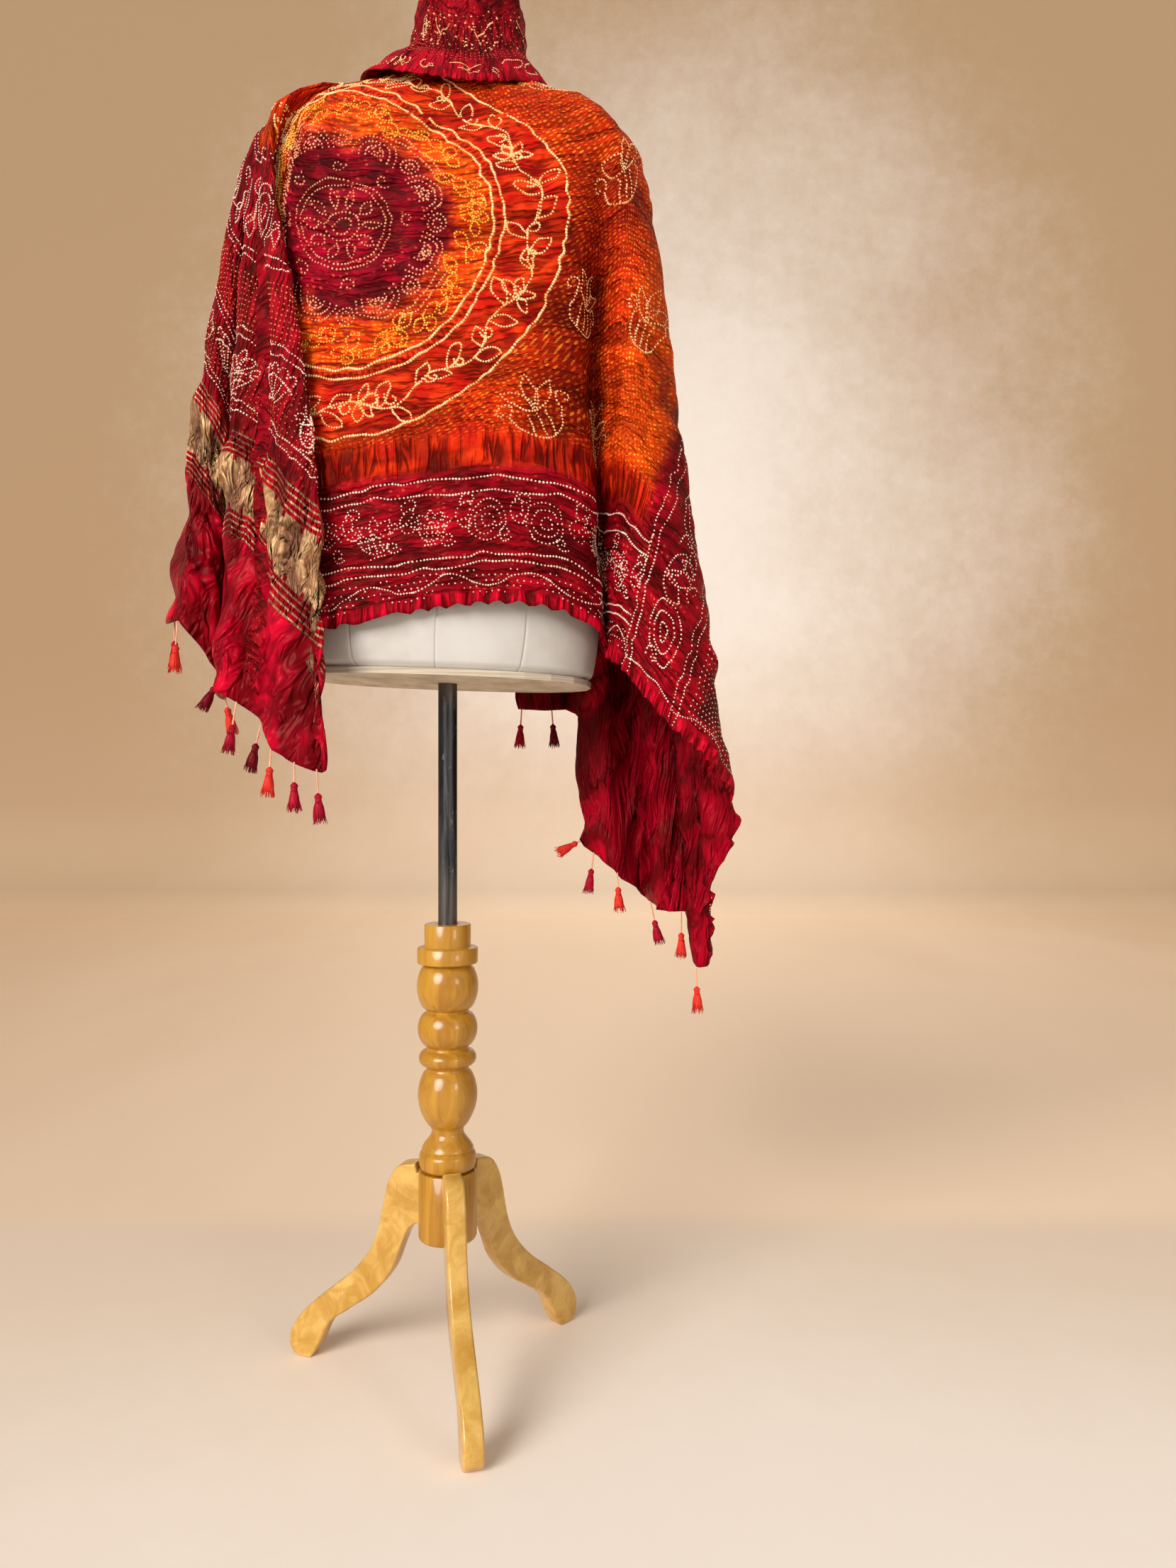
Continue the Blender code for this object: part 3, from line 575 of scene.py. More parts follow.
def creeper_lines():
    """The creeper between the roundel's rings: its stem waves thirteen times round it.

    On each side a leaf leaves the stem in the direction of growth, turned out or in, with a curl
    in every other gap and a flower of four leaves at every tenth place.
    """
    a = np.linspace(0, TAU, 700)
    stem = CREEPER_RADIUS + CREEPER_SWING * np.sin(CREEPER_WAVES * a)
    lines = [np.stack([stem * np.cos(a), ROUNDEL_V + stem * np.sin(a)], axis=-1)]
    for k in range(CREEPER_LEAVES):
        b = TAU * (k + 0.3 * math.sin(2.3 * k)) / CREEPER_LEAVES
        foot = at_angle(b, CREEPER_RADIUS + CREEPER_SWING * math.sin(CREEPER_WAVES * b))
        side = 1 if k % 2 else -1
        growth = b + 0.5 * math.pi
        if k % 10 == 4:
            lines += [placed(leaf(0.021, 0.010), *foot, growth + t) for t in (-1.9, -0.9, 0.1, 1.1)]
        else:
            reach = 0.027 + 0.004 * math.sin(1.7 * k)
            turn = growth + side * (0.80 + 0.25 * math.sin(k))
            lines.append(placed(leaf(reach, 0.0135), *foot, turn))
        if k % 2:
            tip = at_angle(b + 0.055, CREEPER_RADIUS - side * 0.006)
            lines.append(placed(curl(0.0085, 0.7), *tip, growth - side * 0.6, flip=-side))
    return lines


def roundel_lines():
    """The roundel's rings, the creeper between them, the vine inside and the figures of its core."""
    rings = [circle(*MIDDLE, r, count=500) for r in RING_RADII]
    vine = []
    for k in range(VINE_SPRAYS):
        b = TAU * k / VINE_SPRAYS
        foot = at_angle(b, 0.133 + 0.006 * math.sin(2.1 * k))
        vine.append(placed(curl(0.0100, 1.1), *foot, b + 1.2 * (k % 3)))
        vine.append(placed(leaf(0.022, 0.011), *foot, b + 2.2 + 0.3 * math.sin(k)))
        vine.append(placed(leaf(0.018, 0.010), *foot, b - 1.4))
    for k in range(5):
        vine += [circle(*at_angle(TAU * k / 5 + 0.1, 0.138), r, count=24) for r in (0.010, 0.005)]
    core = [circle(*MIDDLE, r, count=90) for r in (0.050, 0.044, 0.017, 0.009)]
    for k in range(CORE_ARCS):
        b = TAU * (k + 0.5) / CORE_ARCS
        centre = at_angle(b, 0.086)
        core += [circle(*centre, r, b - 1.8, b + 1.8, 28) for r in (0.023, 0.017, 0.010)]
        core.append(placed(curl(0.008), *at_angle(b + 0.35, 0.066), b + 2.0))
        core += [placed(leaf(reach, 0.45 * reach), *centre, b + t) for reach, t in CORE_SPRAY]
        core += [circle(*at_angle(b + TAU / 16, 0.097), r, count=18) for r in (0.0095, 0.0045)]
    for k in range(CORE_PETALS):
        b = TAU * k / CORE_PETALS
        core.append(placed(leaf(0.019, 0.009), *at_angle(b, 0.021), b))
    for k in range(4):
        b = TAU * k / 4
        core += [circle(*MIDDLE, r, b + 0.5, b + 1.1, 30) for r in (0.113, 0.120)]
    return [slanted(lines) for lines in (rings, creeper_lines(), vine, core)]


def border_lines():
    """The lower border: two pairs of lines, figures between them, and a wave with dots by the hem."""
    start, end = LEFT_END_U - 0.015, RIGHT_END_U - 0.004
    pairs = []
    for k, height in enumerate((0.140, 0.126, 0.056, 0.045)):
        u = np.linspace(start, end, 300)
        drift = 0.0020 * np.sin(u / 0.045 + k) + 0.0009 * np.sin(u / 0.011)
        pairs.append(np.stack([u, height + drift], axis=-1))
    figures = []
    makers = (flower_vase(0.036), fan(0.034), ringed_oval(0.020, 1.1), flower_vase(0.031))
    heights = (0.087, 0.078, 0.092, 0.090)
    for k, u in enumerate(np.arange(start + 0.030, end - 0.02, 0.060)):
        kind = (k * 3 + k // 4) % 4
        turn = 0.20 * math.sin(2.6 * k)
        figures += [placed(c, u, heights[kind], turn) for c in makers[kind]]
        figures += [
            placed(curl(0.0100), u + 0.031, 0.110, 0.6 + turn),
            placed(curl(0.0090, 1.2), u + 0.027, 0.070, 2.6),
            placed(leaf(0.023, 0.011), u + 0.028, 0.094, 1.1 - turn),
            placed(leaf(0.016, 0.009), u + 0.028, 0.094, -0.3 - turn),
        ]
    hem_wave = [wave(start, end, 0.027, 0.0085, 0.088), wave(end, 0.905, 0.020, 0.0040, 0.088)]
    u, h = np.meshgrid(np.arange(start, end, 0.0066), np.arange(0.0125, 0.0430, 0.0062))
    u = u + 0.003 * (np.round(h / 0.0062) % 2)
    centre = 0.027 + 0.0085 * np.sin(TAU * u / 0.088)
    free = (np.abs(h - centre) > 0.0042) & (np.abs(h - centre) < 0.0135)
    return pairs, figures, hem_wave, np.stack([u[free], h[free]], axis=-1)


def collar_lines():
    """The upper border where it is gathered to a third of its length round the neck.

    Curls on the turned-down flap; strokes and large dots on the wrap above it, all drawn wide;
    slanting rows of small dots between them and straight rows along the crease.
    """
    wide, top = 2.7, SHEET_WIDTH
    curls = []
    for k, u in enumerate(np.arange(-0.22, 0.40, 0.064)):
        turn = 1.1 + 0.8 * math.sin(2.4 * k)
        curls.append(placed(curl(0.0105, 0.72), u, top - 0.030, turn, flip=(-1) ** k, wide=wide))
    curls += [
        placed(leaf(0.014, 0.005), u, top - 0.022, 1.2 + 0.5 * math.sin(k), wide=wide)
        for k, u in enumerate(np.arange(-0.19, 0.40, 0.128))
    ]
    strokes = []
    for k, u in enumerate(np.arange(-0.36, 0.52, 0.072)):
        turn = (1.0 if k % 2 else 2.2) + 0.3 * math.sin(k)
        strokes.append(placed(line((0, 0), (0.026, 0)), u, top - 0.096, turn, wide=wide))
    rng = np.random.default_rng(17)
    large = np.stack([rng.uniform(-0.40, 0.56, 110), top - rng.uniform(0.060, 0.108, 110)], axis=-1)
    u, h = np.meshgrid(np.arange(-0.42, 0.58, 0.0210), np.arange(0.058, 0.112, 0.0060))
    slanting = np.stack([(u + 2.2 * h).ravel() - 0.2, top - h.ravel()], axis=-1)
    u, h = np.meshgrid(np.arange(-0.42, 0.58, 0.011), (0.041, 0.0465, 0.052))
    rows = np.stack([u.ravel(), top - h.ravel() - 0.002 * np.sin(u.ravel() / 0.05)], axis=-1)
    return curls, strokes, large, np.vstack([slanting, rows])


def skewed(u, v):
    """The left end's bands are pulled towards the end where v is small."""
    return u - SKEW * np.maximum(0, SKEW_START - v)


def cross_lines(u, skew=False):
    """A pair of lines across the width, 11 mm apart."""
    v = np.linspace(0.004, SHEET_WIDTH - 0.004, 260)
    lines = [u + k * 0.011 + 0.0013 * np.sin(v / 0.03 + k) + 0.0007 * np.sin(v / 0.009) for k in (0, 1)]
    return [np.stack([skewed(x, v) if skew else x, v], axis=-1) for x in lines]


def end_lines():
    """The cross borders near both ends: pairs of lines, ringed ovals, fans and leaves."""
    white = cross_lines(RIGHT_END_U) + cross_lines(0.588)
    for k, v in enumerate(np.arange(0.075, 0.86, 0.125)):
        white += [placed(c, 0.549, v, 0.3) for c in ringed_oval(0.025, 1.3)]
        white += [placed(leaf(0.034, 0.015), 0.528, v + 0.052, a) for a in (0.3, -0.55, 1.1)]
        white += [placed(leaf(0.024, 0.011), 0.562, v + 0.070, a) for a in (2.2, 3.0)]
        white += [placed(curl(0.010), 0.566, v + 0.046, 1.4), placed(curl(0.011), 0.531, v - 0.035, 0.4)]
    for k, u in enumerate((LEFT_END_U, -0.412, -0.512, -0.602)):
        white += cross_lines(u, skew=k > 1)
    for k, v in enumerate(np.arange(0.070, 0.86, 0.078)):
        white += [placed(c, -0.350, v, 0.5 * math.pi) for c in ringed_oval(0.0225, 1.65)]
        white.append(placed(curl(0.012), -0.325, v + 0.039, 0.3))
        white.append(placed(leaf(0.030, 0.013), -0.388, v + 0.039, 0.2))
        white.append(circle(-0.350, v, 0.034, 0.15 * math.pi, 0.6 * math.pi, 20, 1.2))
        white.append(circle(-0.350, v, 0.034, 1.15 * math.pi, 1.6 * math.pi, 20, 1.2))
        figure = fan(0.056) if k % 2 else flower_vase(0.046)
        white += [placed(c, skewed(-0.580 if k % 2 else -0.556, v), v, -0.5 * math.pi) for c in figure]
    return white


def dot_grid(u_start, u_end, pitch, skew=False):
    """Rows of single dots across the width."""
    u, v = np.meshgrid(np.arange(u_start, u_end, pitch), np.arange(0.02, 0.88, pitch))
    u = skewed(u, v) if skew else u
    return np.stack([u.ravel(), v.ravel()], axis=-1)


# The flower vases of the field: u and v.
FIELD_SPOTS = (
    (0.262, 0.60), (0.300, 0.46), (0.262, 0.335), (0.400, 0.33), (0.200, 0.215), (0.330, 0.215),
    (0.440, 0.44), (0.345, 0.60), (0.470, 0.58), (-0.24, 0.62), (-0.26, 0.24),
)


def field_figures():
    """Small flower vases scattered over the field on both sides of the roundel."""
    lines = []
    for k, (u, v) in enumerate(FIELD_SPOTS):
        lines += [placed(c, u, v, 0.45 * math.sin(2.1 * k)) for c in flower_vase(0.058, True)]
    return lines


# A raised dot's triangles: corners 0 to 3 round it, 4 on top and 5 below.
DIAMOND = [[0, 1, 4], [1, 2, 4], [2, 3, 4], [3, 0, 4], [1, 0, 5], [2, 1, 5], [3, 2, 5], [0, 3, 5]]


def raise_dots(name, cloth, dots, shade):
    """Small closed diamonds on the cloth's outer face, one for each dot.

    A dot's corners lie in the sheet, turned by up to 0.6 radians from its length, with a top
    and a bottom. Dots that fall off the sheet or in a fold too tight to find are left out.
    """
    places = np.vstack([d.places for d in dots])
    radius = np.concatenate([np.full(len(d.places), d.radius) for d in dots])
    inside = (np.abs(places[:, 0]) < 0.5 * SHEET_LENGTH - 0.002) & (places[:, 1] > 0.003)
    inside &= places[:, 1] < SHEET_WIDTH - 0.003
    places, radius = places[inside], radius[inside]
    i, j, miss = cloth.find(places[:, 0], places[:, 1])
    found = miss < 0.0015
    i, j, radius = i[found], j[found], radius[found]
    centre, normal = cloth.at(cloth.points, i, j), cloth.at(cloth.normals, i, j)
    normal /= np.linalg.norm(normal, axis=1, keepdims=True)
    along = cloth.at(np.gradient(cloth.points, axis=1), i, j)
    along -= normal * (along * normal).sum(axis=1, keepdims=True)
    along /= np.maximum(np.linalg.norm(along, axis=1, keepdims=True), 1e-9)
    across = np.cross(normal, along)
    grown = np.random.default_rng(31).uniform(0.82, 1.2, len(radius)) * radius
    turn = np.random.default_rng(32).uniform(-0.6, 0.6, len(radius))
    a = turn[:, None] + TAU * np.arange(4) / 4
    lifted = centre + normal * (0.5 * SHEET_THICKNESS)
    around = (
        lifted[:, None]
        + grown[:, None, None] * np.cos(a)[..., None] * along[:, None]
        + grown[:, None, None] * np.sin(a)[..., None] * across[:, None]
    )
    top = lifted + normal * (0.55 * grown)[:, None]
    bottom = lifted - normal * (0.35 * grown)[:, None]
    points = np.concatenate([around, top[:, None], bottom[:, None]], axis=1)
    faces = (np.array(DIAMOND)[None] + 6 * np.arange(len(points))[:, None, None]).reshape(-1, 3)
    finish(mesh_object(name, points, faces.tolist()), "silk", None, shade)


# The form: height, half-width, depth of the near side and of the far side, in mm.
Section = namedtuple("Section", "height half_width near far")
TORSO = (
    Section(826, 170, 110, 99),
    Section(850, 174, 115, 103),
    Section(905, 176, 117, 104),
    Section(1000, 150, 98, 98),
    Section(1080, 124, 81, 94),
    Section(1180, 137, 88, 114),
    Section(1270, 157, 97, 137),
    Section(1345, 168, 102, 126),
    Section(1400, 178, 99, 106),
    Section(1432, 184, 88, 90),
    Section(1452, 168, 76, 78),
    Section(1470, 128, 67, 68),
    Section(1490, 84, 60, 60),
    Section(1512, 56, 55, 55),
    Section(1560, 53, 53, 53),
    Section(1629, 52, 52, 52),
)
TORSO_SQUARENESS = 2.4
SEAM_ANGLES = (0, 48, 90, 132, 180, 227, 270, 313)
CAP_HEIGHT = 1.6295


def closed_rings(name, points):
    """A closed skin over rings of points, with a fan of triangles over its first and last ring."""
    rows, columns = points.shape[:2]
    ends = np.stack([points[0].mean(axis=0), points[-1].mean(axis=0)])
    every = np.vstack([points.reshape(-1, 3), ends])
    j = np.arange(columns)
    k = (j + 1) % columns
    first = np.stack([np.full(columns, rows * columns), k, j], axis=-1)
    top = (rows - 1) * columns
    last = np.stack([np.full(columns, rows * columns + 1), top + j, top + k], axis=-1)
    faces = grid_faces(rows, columns, ring=True).tolist() + first.tolist() + last.tolist()
    return mesh_object(name, every, faces)


def make_torso(shade):
    """The torso's sections joined smoothly, with a shallow groove down each seam.

    Each section is a superellipse, and a groove is a bell curve of the distance to its seam.
    """
    sections = np.array(TORSO) * MM
    places = np.linspace(0, len(TORSO) - 1, 151)
    height, half_width, near, far = through(sections, places).T[:, :, None]
    seams = np.radians(SEAM_ANGLES)
    beside = (seams[:, None] + np.array([-0.016, -0.009, -0.004, 0, 0.004, 0.009, 0.016])) % TAU
    plain = np.linspace(0, TAU, 200, endpoint=False)
    from_seam = np.abs((plain[:, None] - seams + math.pi) % TAU - math.pi).min(axis=1)
    angle = np.sort(np.concatenate([plain[from_seam > 0.022], beside.ravel()]))[None, :]
    reach = oval(angle, half_width, near, far, TORSO_SQUARENESS)
    groove = np.zeros_like(reach)
    for degrees in SEAM_ANGLES:
        gap = np.abs((angle - math.radians(degrees) + math.pi) % TAU - math.pi) * reach
        groove = np.maximum(groove, np.exp(-((gap / 0.0009) ** 2)))
    soft = 0.0006 * lattice_noise(angle * 9 / TAU * 4 + 0 * height, height / 0.03 + 0 * angle, 21)
    reach = reach - 0.0013 * groove * ramp(1.50 - height, 0, 0.05) + soft
    edge = 1 - 0.035 * (1 - ramp(height, BOARD_TOP, 0.834))
    x, y = reach * edge * np.cos(angle), reach * edge * np.sin(angle)
    points = leaned(np.stack([x, y, height + 0 * angle], axis=-1)) + AXIS
    finish(closed_rings("form_torso", points), "form_cloth", "torso", shade)


def lathe(name, profile, shade, slot_name, node, leaning=False, count=96):
    """A profile of (radius, height) from bottom to top carried round the pole's axis."""
    profile = np.array(profile, dtype=float) * MM
    angle = np.linspace(0, TAU, count, endpoint=False)[None, :]
    r, z = profile[:, :1], profile[:, 1:]
    points = np.stack([r * np.cos(angle), r * np.sin(angle), z + 0 * angle], axis=-1)
    if leaning:
        points = leaned(points)
    made = closed_rings(name, points + AXIS)
    made.data.set_sharp_from_angle(angle=math.radians(42))
    finish(made, slot_name, node, shade)


def bead_profile(bottom, top, bottom_radius, widest, top_radius, power=0.62, count=22):
    """A turned bead from bottom to top: the ends' straight line plus a half sine wave to a power."""
    t = np.linspace(0, 1, count)
    ends = bottom_radius + (top_radius - bottom_radius) * t
    swell = widest - 0.5 * (bottom_radius + top_radius)
    return list(zip(ends + swell * np.sin(math.pi * t) ** power, bottom + (top - bottom) * t))


def make_column(shade):
    """The turned column, bead by bead from the torus over the hub to the sleeve round the pole."""
    profile = [(0.5, 244.2), (28.5, 244.2)]
    profile += bead_profile(245, 266, 30.0, 34.0, 30.6, 0.5, 14)
    profile += [(29.4, 267.2), (29.4, 268.4), (30.6, 269.2), (30.4, 270.5)]
    profile += [(27.0, 276.0), (22.5, 281.5), (19.6, 286.0), (18.7, 290.0), (19.6, 293.5)]
    profile += bead_profile(294.5, 361.5, 19.8, 35.0, 26.0, 0.72, 30)
    profile += [(24.6, 363.4), (24.6, 365.0), (26.5, 366.5)]
    profile += bead_profile(367.5, 385.5, 27.6, 34.0, 27.2, 0.55, 14)
    profile += [(25.4, 386.6), (24.6, 388.5), (24.9, 390.0)]
    profile += bead_profile(391, 430, 26.0, 35.4, 26.4, 0.6, 20)
    profile += [(24.8, 431.2), (24.8, 433.0)]
    profile += bead_profile(434, 485.5, 26.4, 36.3, 27.4, 0.6, 24)
    profile += [(27.0, 486.6), (28.4, 487.6), (34.8, 488.2), (35.8, 489.2), (35.8, 505.8), (34.9, 506.8)]
    profile += [(28.6, 507.3), (27.4, 508.2), (27.4, 533.0), (26.6, 534.3), (13.0, 534.4), (12.0, 533.4)]
    profile += [(11.9, 500.0), (0.5, 500.0)]
    lathe("turned_column", profile, shade, "wood", "column")


def make_hub(shade):
    """The hub's plain drum, rounded at its lower edge."""
    profile = [(0.5, 162.0)]
    t = np.linspace(0, 0.5 * math.pi, 8)
    profile += list(zip(29.4 + 5.0 * np.sin(t), 167.0 - 5.0 * np.cos(t)))
    profile += [(34.4, 242.6), (33.6, 243.5), (0.5, 243.5)]
    lathe("leg_hub", profile, shade, "wood", "hub")


LEG_OUTLINE = (
    (22, 239), (35, 239), (37, 250), (59, 245), (72, 226), (78, 204), (86, 167),
    (98, 139), (123, 109), (155, 83), (185, 57), (199, 38), (204, 22), (201, 8), (192, 0),
    (176, 0), (166, 14), (150, 46), (125, 65), (91, 90), (67, 120), (55, 150),
    (46, 170), (37, 178), (22, 178),
)
LEG_ANGLES = {"leg_front": 284.8, "leg_left": 164.8, "leg_right": 44.8}
LEG_THICKNESS = 0.0225
LEG_ROUNDING = 0.0032


def leg_outline():
    """The board's outline, with both long sides as smooth curves and the sole and tenon straight."""
    points = np.array(LEG_OUTLINE) * MM
    toe = LEG_OUTLINE.index((192, 0))
    sides = [points[2 : toe + 1], points[toe + 1 : -1]]
    upper, lower = (through(side, np.linspace(0, len(side) - 1, 6 * len(side) - 5)) for side in sides)
    return np.vstack([points[:2], upper, lower, points[-1:]])


def inward_normals(outline):
    """Unit normals of a closed outline, towards its inside: across the mean of both its runs."""
    ahead = np.roll(outline, -1, axis=0) - outline
    behind = outline - np.roll(outline, 1, axis=0)
    ahead /= np.linalg.norm(ahead, axis=1, keepdims=True)
    behind /= np.linalg.norm(behind, axis=1, keepdims=True)
    run = ahead + behind
    run /= np.maximum(np.linalg.norm(run, axis=1, keepdims=True), 1e-6)
    inward = np.stack([run[:, 1], -run[:, 0]], axis=-1)
    x, z = outline.T
    area = (x * np.roll(z, -1) - np.roll(x, -1) * z).sum()
    return inward * (-1 if area > 0 else 1)


def make_leg(name, degrees, shade):
    """A sawn board: its outline at both faces, drawn in by a quarter circle along every edge."""
    outline = leg_outline()
    inward = inward_normals(outline)
    a = np.linspace(0, 0.5 * math.pi, 5)
    inset = LEG_ROUNDING * (1 - np.sin(a))
    side = 0.5 * LEG_THICKNESS - LEG_ROUNDING * (1 - np.cos(a))
    inset = np.concatenate([inset, inset[::-1]])
    side = np.concatenate([side, -side[::-1]])
    flat = outline[None] + inward[None] * inset[:, None, None]
    flat[..., 1] = np.maximum(flat[..., 1], 0.0)
    points = np.stack([flat[..., 0], side[:, None] + 0 * flat[..., 0], flat[..., 1]], axis=-1)
    rows, columns = points.shape[:2]
    faces = grid_faces(rows, columns, ring=True).tolist()
    faces += [list(range(columns))[::-1], list(range((rows - 1) * columns, rows * columns))]
    c, s = math.cos(math.radians(degrees)), math.sin(math.radians(degrees))
    x, y, z = np.moveaxis(points, -1, 0)
    turned = np.stack([c * x - s * y, s * x + c * y, z], axis=-1) + AXIS
    leg = mesh_object(name.replace("leg", "wood_leg"), turned, faces)
    leg.data.set_sharp_from_angle(angle=math.radians(50))
    recalculate(leg.data)
    finish(leg, "wood", name, shade)


def recalculate(mesh):
    """Turns every face of a closed mesh outwards."""
    build = bmesh.new()
    build.from_mesh(mesh)
    bmesh.ops.recalc_face_normals(build, faces=build.faces)
    build.to_mesh(mesh)
    build.free()


# Tassels: place along the folds, cord length in mm, lean and its plan direction, shade.
Tassel = namedtuple("Tassel", "along cord lean toward shade")
TASSELS = (
    Tassel(0.1, 20, 0, 0, "tassel_deep"),
    Tassel(1.0, 22, 0, 0, "tassel_bright"),
    Tassel(2.0, 20, 0, 0, "tassel_deep"),
    Tassel(3.0, 22, 0, 0, "tassel_deep"),
    Tassel(4.0, 20, 0, 0, "tassel_bright"),
    Tassel(5.0, 22, 0, 0, "tassel_deep"),
    Tassel(6.2, 21, 0, 0, "tassel_deep"),
    Tassel(7.1, 26, 3, 190, "tassel_bright"),
    Tassel(8.5, 12, 28, 200, "tassel_dark"),
    Tassel(9.3, 12, 12, 20, "tassel_bright"),
    Tassel(10.5, 24, 10, 170, "tassel_deep"),
    Tassel(11.2, 20, 14, 170, "tassel_dark"),
    Tassel(11.7, 24, 4, 200, "tassel_bright"),
    Tassel(12.3, 20, 0, 0, "tassel_deep"),
    Tassel(12.8, 24, 3, 10, "tassel_deep"),
    Tassel(30.0, 24, 2, 0, "tassel_bright"),
    Tassel(31.4, 26, 0, 0, "tassel_bright"),
    Tassel(32.6, 24, 12, 10, "tassel_deep"),
    Tassel(33.9, 18, 3, 10, "tassel_bright"),
    Tassel(34.6, 20, 8, 190, "tassel_deep"),
    Tassel(35.0, 8, 62, 190, "tassel_bright"),
    Tassel(36.9, 18, 6, 0, "tassel_dark"),
    Tassel(37.8, 18, 4, 10, "tassel_dark"),
    Tassel(38.9, 20, 3, 190, "tassel_deep"),
)
STRANDS = 44
SKIRT_LENGTH = 0.0215
# The tassel's head and the core of its skirt: distance below the cord's end and radius, in mm.
TASSEL_HEAD = (
    (1.0, 1.9), (2.2, 3.3), (3.8, 4.1), (5.4, 3.9), (6.6, 3.2), (7.2, 3.6), (8.0, 3.7),
    (8.8, 3.5), (9.6, 3.3), (11.5, 4.1), (15.0, 4.9), (20.0, 5.6), (26.0, 5.9), (27.0, 3.0),
)


def tassel_rings(cord, seed):
    """A cord, a bound head and the skirt's core as rings round the tassel's own axis."""
    down = [-1.0, cord * 0.25, cord * 0.5, cord * 0.75, cord]
    wide = [0.7, 0.95, 0.95, 0.95, 1.0]
    down += [cord + drop for drop, radius in TASSEL_HEAD]
    wide += [radius for drop, radius in TASSEL_HEAD]
    angle = np.linspace(0, TAU, 20, endpoint=False)[None, :]
    down, wide = np.array(down)[:, None] * MM, np.array(wide)[:, None] * MM
    skirt = ramp(down - cord * MM, 0.009, 0.014)
    flutes = 1 + 0.10 * skirt * np.sin(10 * angle + seed)
    twist = 0.10 * MM * np.sin(3 * angle + down / 0.0009) * (down < cord * MM)
    reach = wide * flutes + twist
    return np.stack([reach * np.cos(angle), reach * np.sin(angle), -down + 0 * angle], axis=-1)


def tassel_strands(cord, seed):
    """Loose threads of the skirt: thin three-sided tubes that leave the band and flare as they fall."""
    rng = np.random.default_rng(100 + seed)
    a = TAU * (np.arange(STRANDS) + rng.uniform(-0.4, 0.4, STRANDS)) / STRANDS
    layer = rng.uniform(0.72, 1.0, STRANDS)
    length = SKIRT_LENGTH * rng.uniform(0.86, 1.12, STRANDS)
    flare = rng.uniform(0.0056, 0.0088, STRANDS)
    t = np.linspace(0, 1, 6)[None, :]
    sway = rng.uniform(-0.0012, 0.0012, (STRANDS, 1))
    out = layer[:, None] * (0.0036 + (flare[:, None] - 0.0036) * (0.5 * t + 0.5 * t**1.6))
    turn = a[:, None] + rng.uniform(-0.25, 0.25, (STRANDS, 1)) * t
    z = -(cord * MM + 0.0092 + length[:, None] * t)
    centre = np.stack([out * np.cos(turn) + sway * t**2, out * np.sin(turn) - sway * t**2, z], axis=-1)
    b = TAU * np.arange(3) / 3
    thick = (0.00055 * (1 - 0.35 * t**3))[..., None] * np.ones((STRANDS, 1, 3))
    side = np.stack([thick * np.cos(b), thick * np.sin(b), 0 * thick], axis=-1)
    return centre[:, :, None, :] + side


def hem_point(along):
    """A point of the solid's lower edge, which is straight between one of its columns and the next."""
    columns = np.linspace(0, len(FOLDS) - 1, 2 * (len(FOLDS) - 1) + 1)
    edge = drape(columns, np.array([float(FOOT_ROW)]))[0]
    return np.array([np.interp(along, columns, edge[:, k]) for k in range(3)])


def make_tassel(index, tassel, silk, cord_silk):
    """Hangs a tassel from the hem: its rings and strands turned by its lean towards its direction."""
    rings = tassel_rings(tassel.cord, index)
    strands = tassel_strands(tassel.cord, index)
    rows, columns = rings.shape[:2]
    body = grid_faces(rows, columns, ring=True).tolist()
    body.append(list(range(columns))[::-1])
    body.append(list(range((rows - 1) * columns, rows * columns)))
    count, steps = strands.shape[:2]
    first = rows * columns
    tube = grid_faces(steps, 3, ring=True)
    tubes = (tube[None] + first + 3 * steps * np.arange(count)[:, None, None]).reshape(-1, 4).tolist()
    start = first + 3 * steps * np.arange(count)[:, None]
    tips = np.vstack([start + [2, 1, 0], start + 3 * (steps - 1) + [0, 1, 2]]).tolist()
    points = np.vstack([rings.reshape(-1, 3), strands.reshape(-1, 3)])
    lean, toward = math.radians(-tassel.lean), math.radians(tassel.toward)
    c, s = math.cos(lean), math.sin(lean)
    about_y = np.array([[c, 0, s], [0, 1, 0], [-s, 0, c]])
    c, s = math.cos(toward), math.sin(toward)
    about_z = np.array([[c, -s, 0], [s, c, 0], [0, 0, 1]])
    points = points @ (about_z @ about_y).T + hem_point(tassel.along)
    name = f"tassel_{index + 1:02d}"
    made = mesh_object("silk_" + name, points, body + tubes + tips)
    finish(made, tassel.shade, name, silk, cord_silk)
    on_cord = np.zeros(len(made.data.polygons), int)
    on_cord[: 4 * columns] = 1
    made.data.polygons.foreach_set("material_index", on_cord)
    recalculate(made.data)
    return made


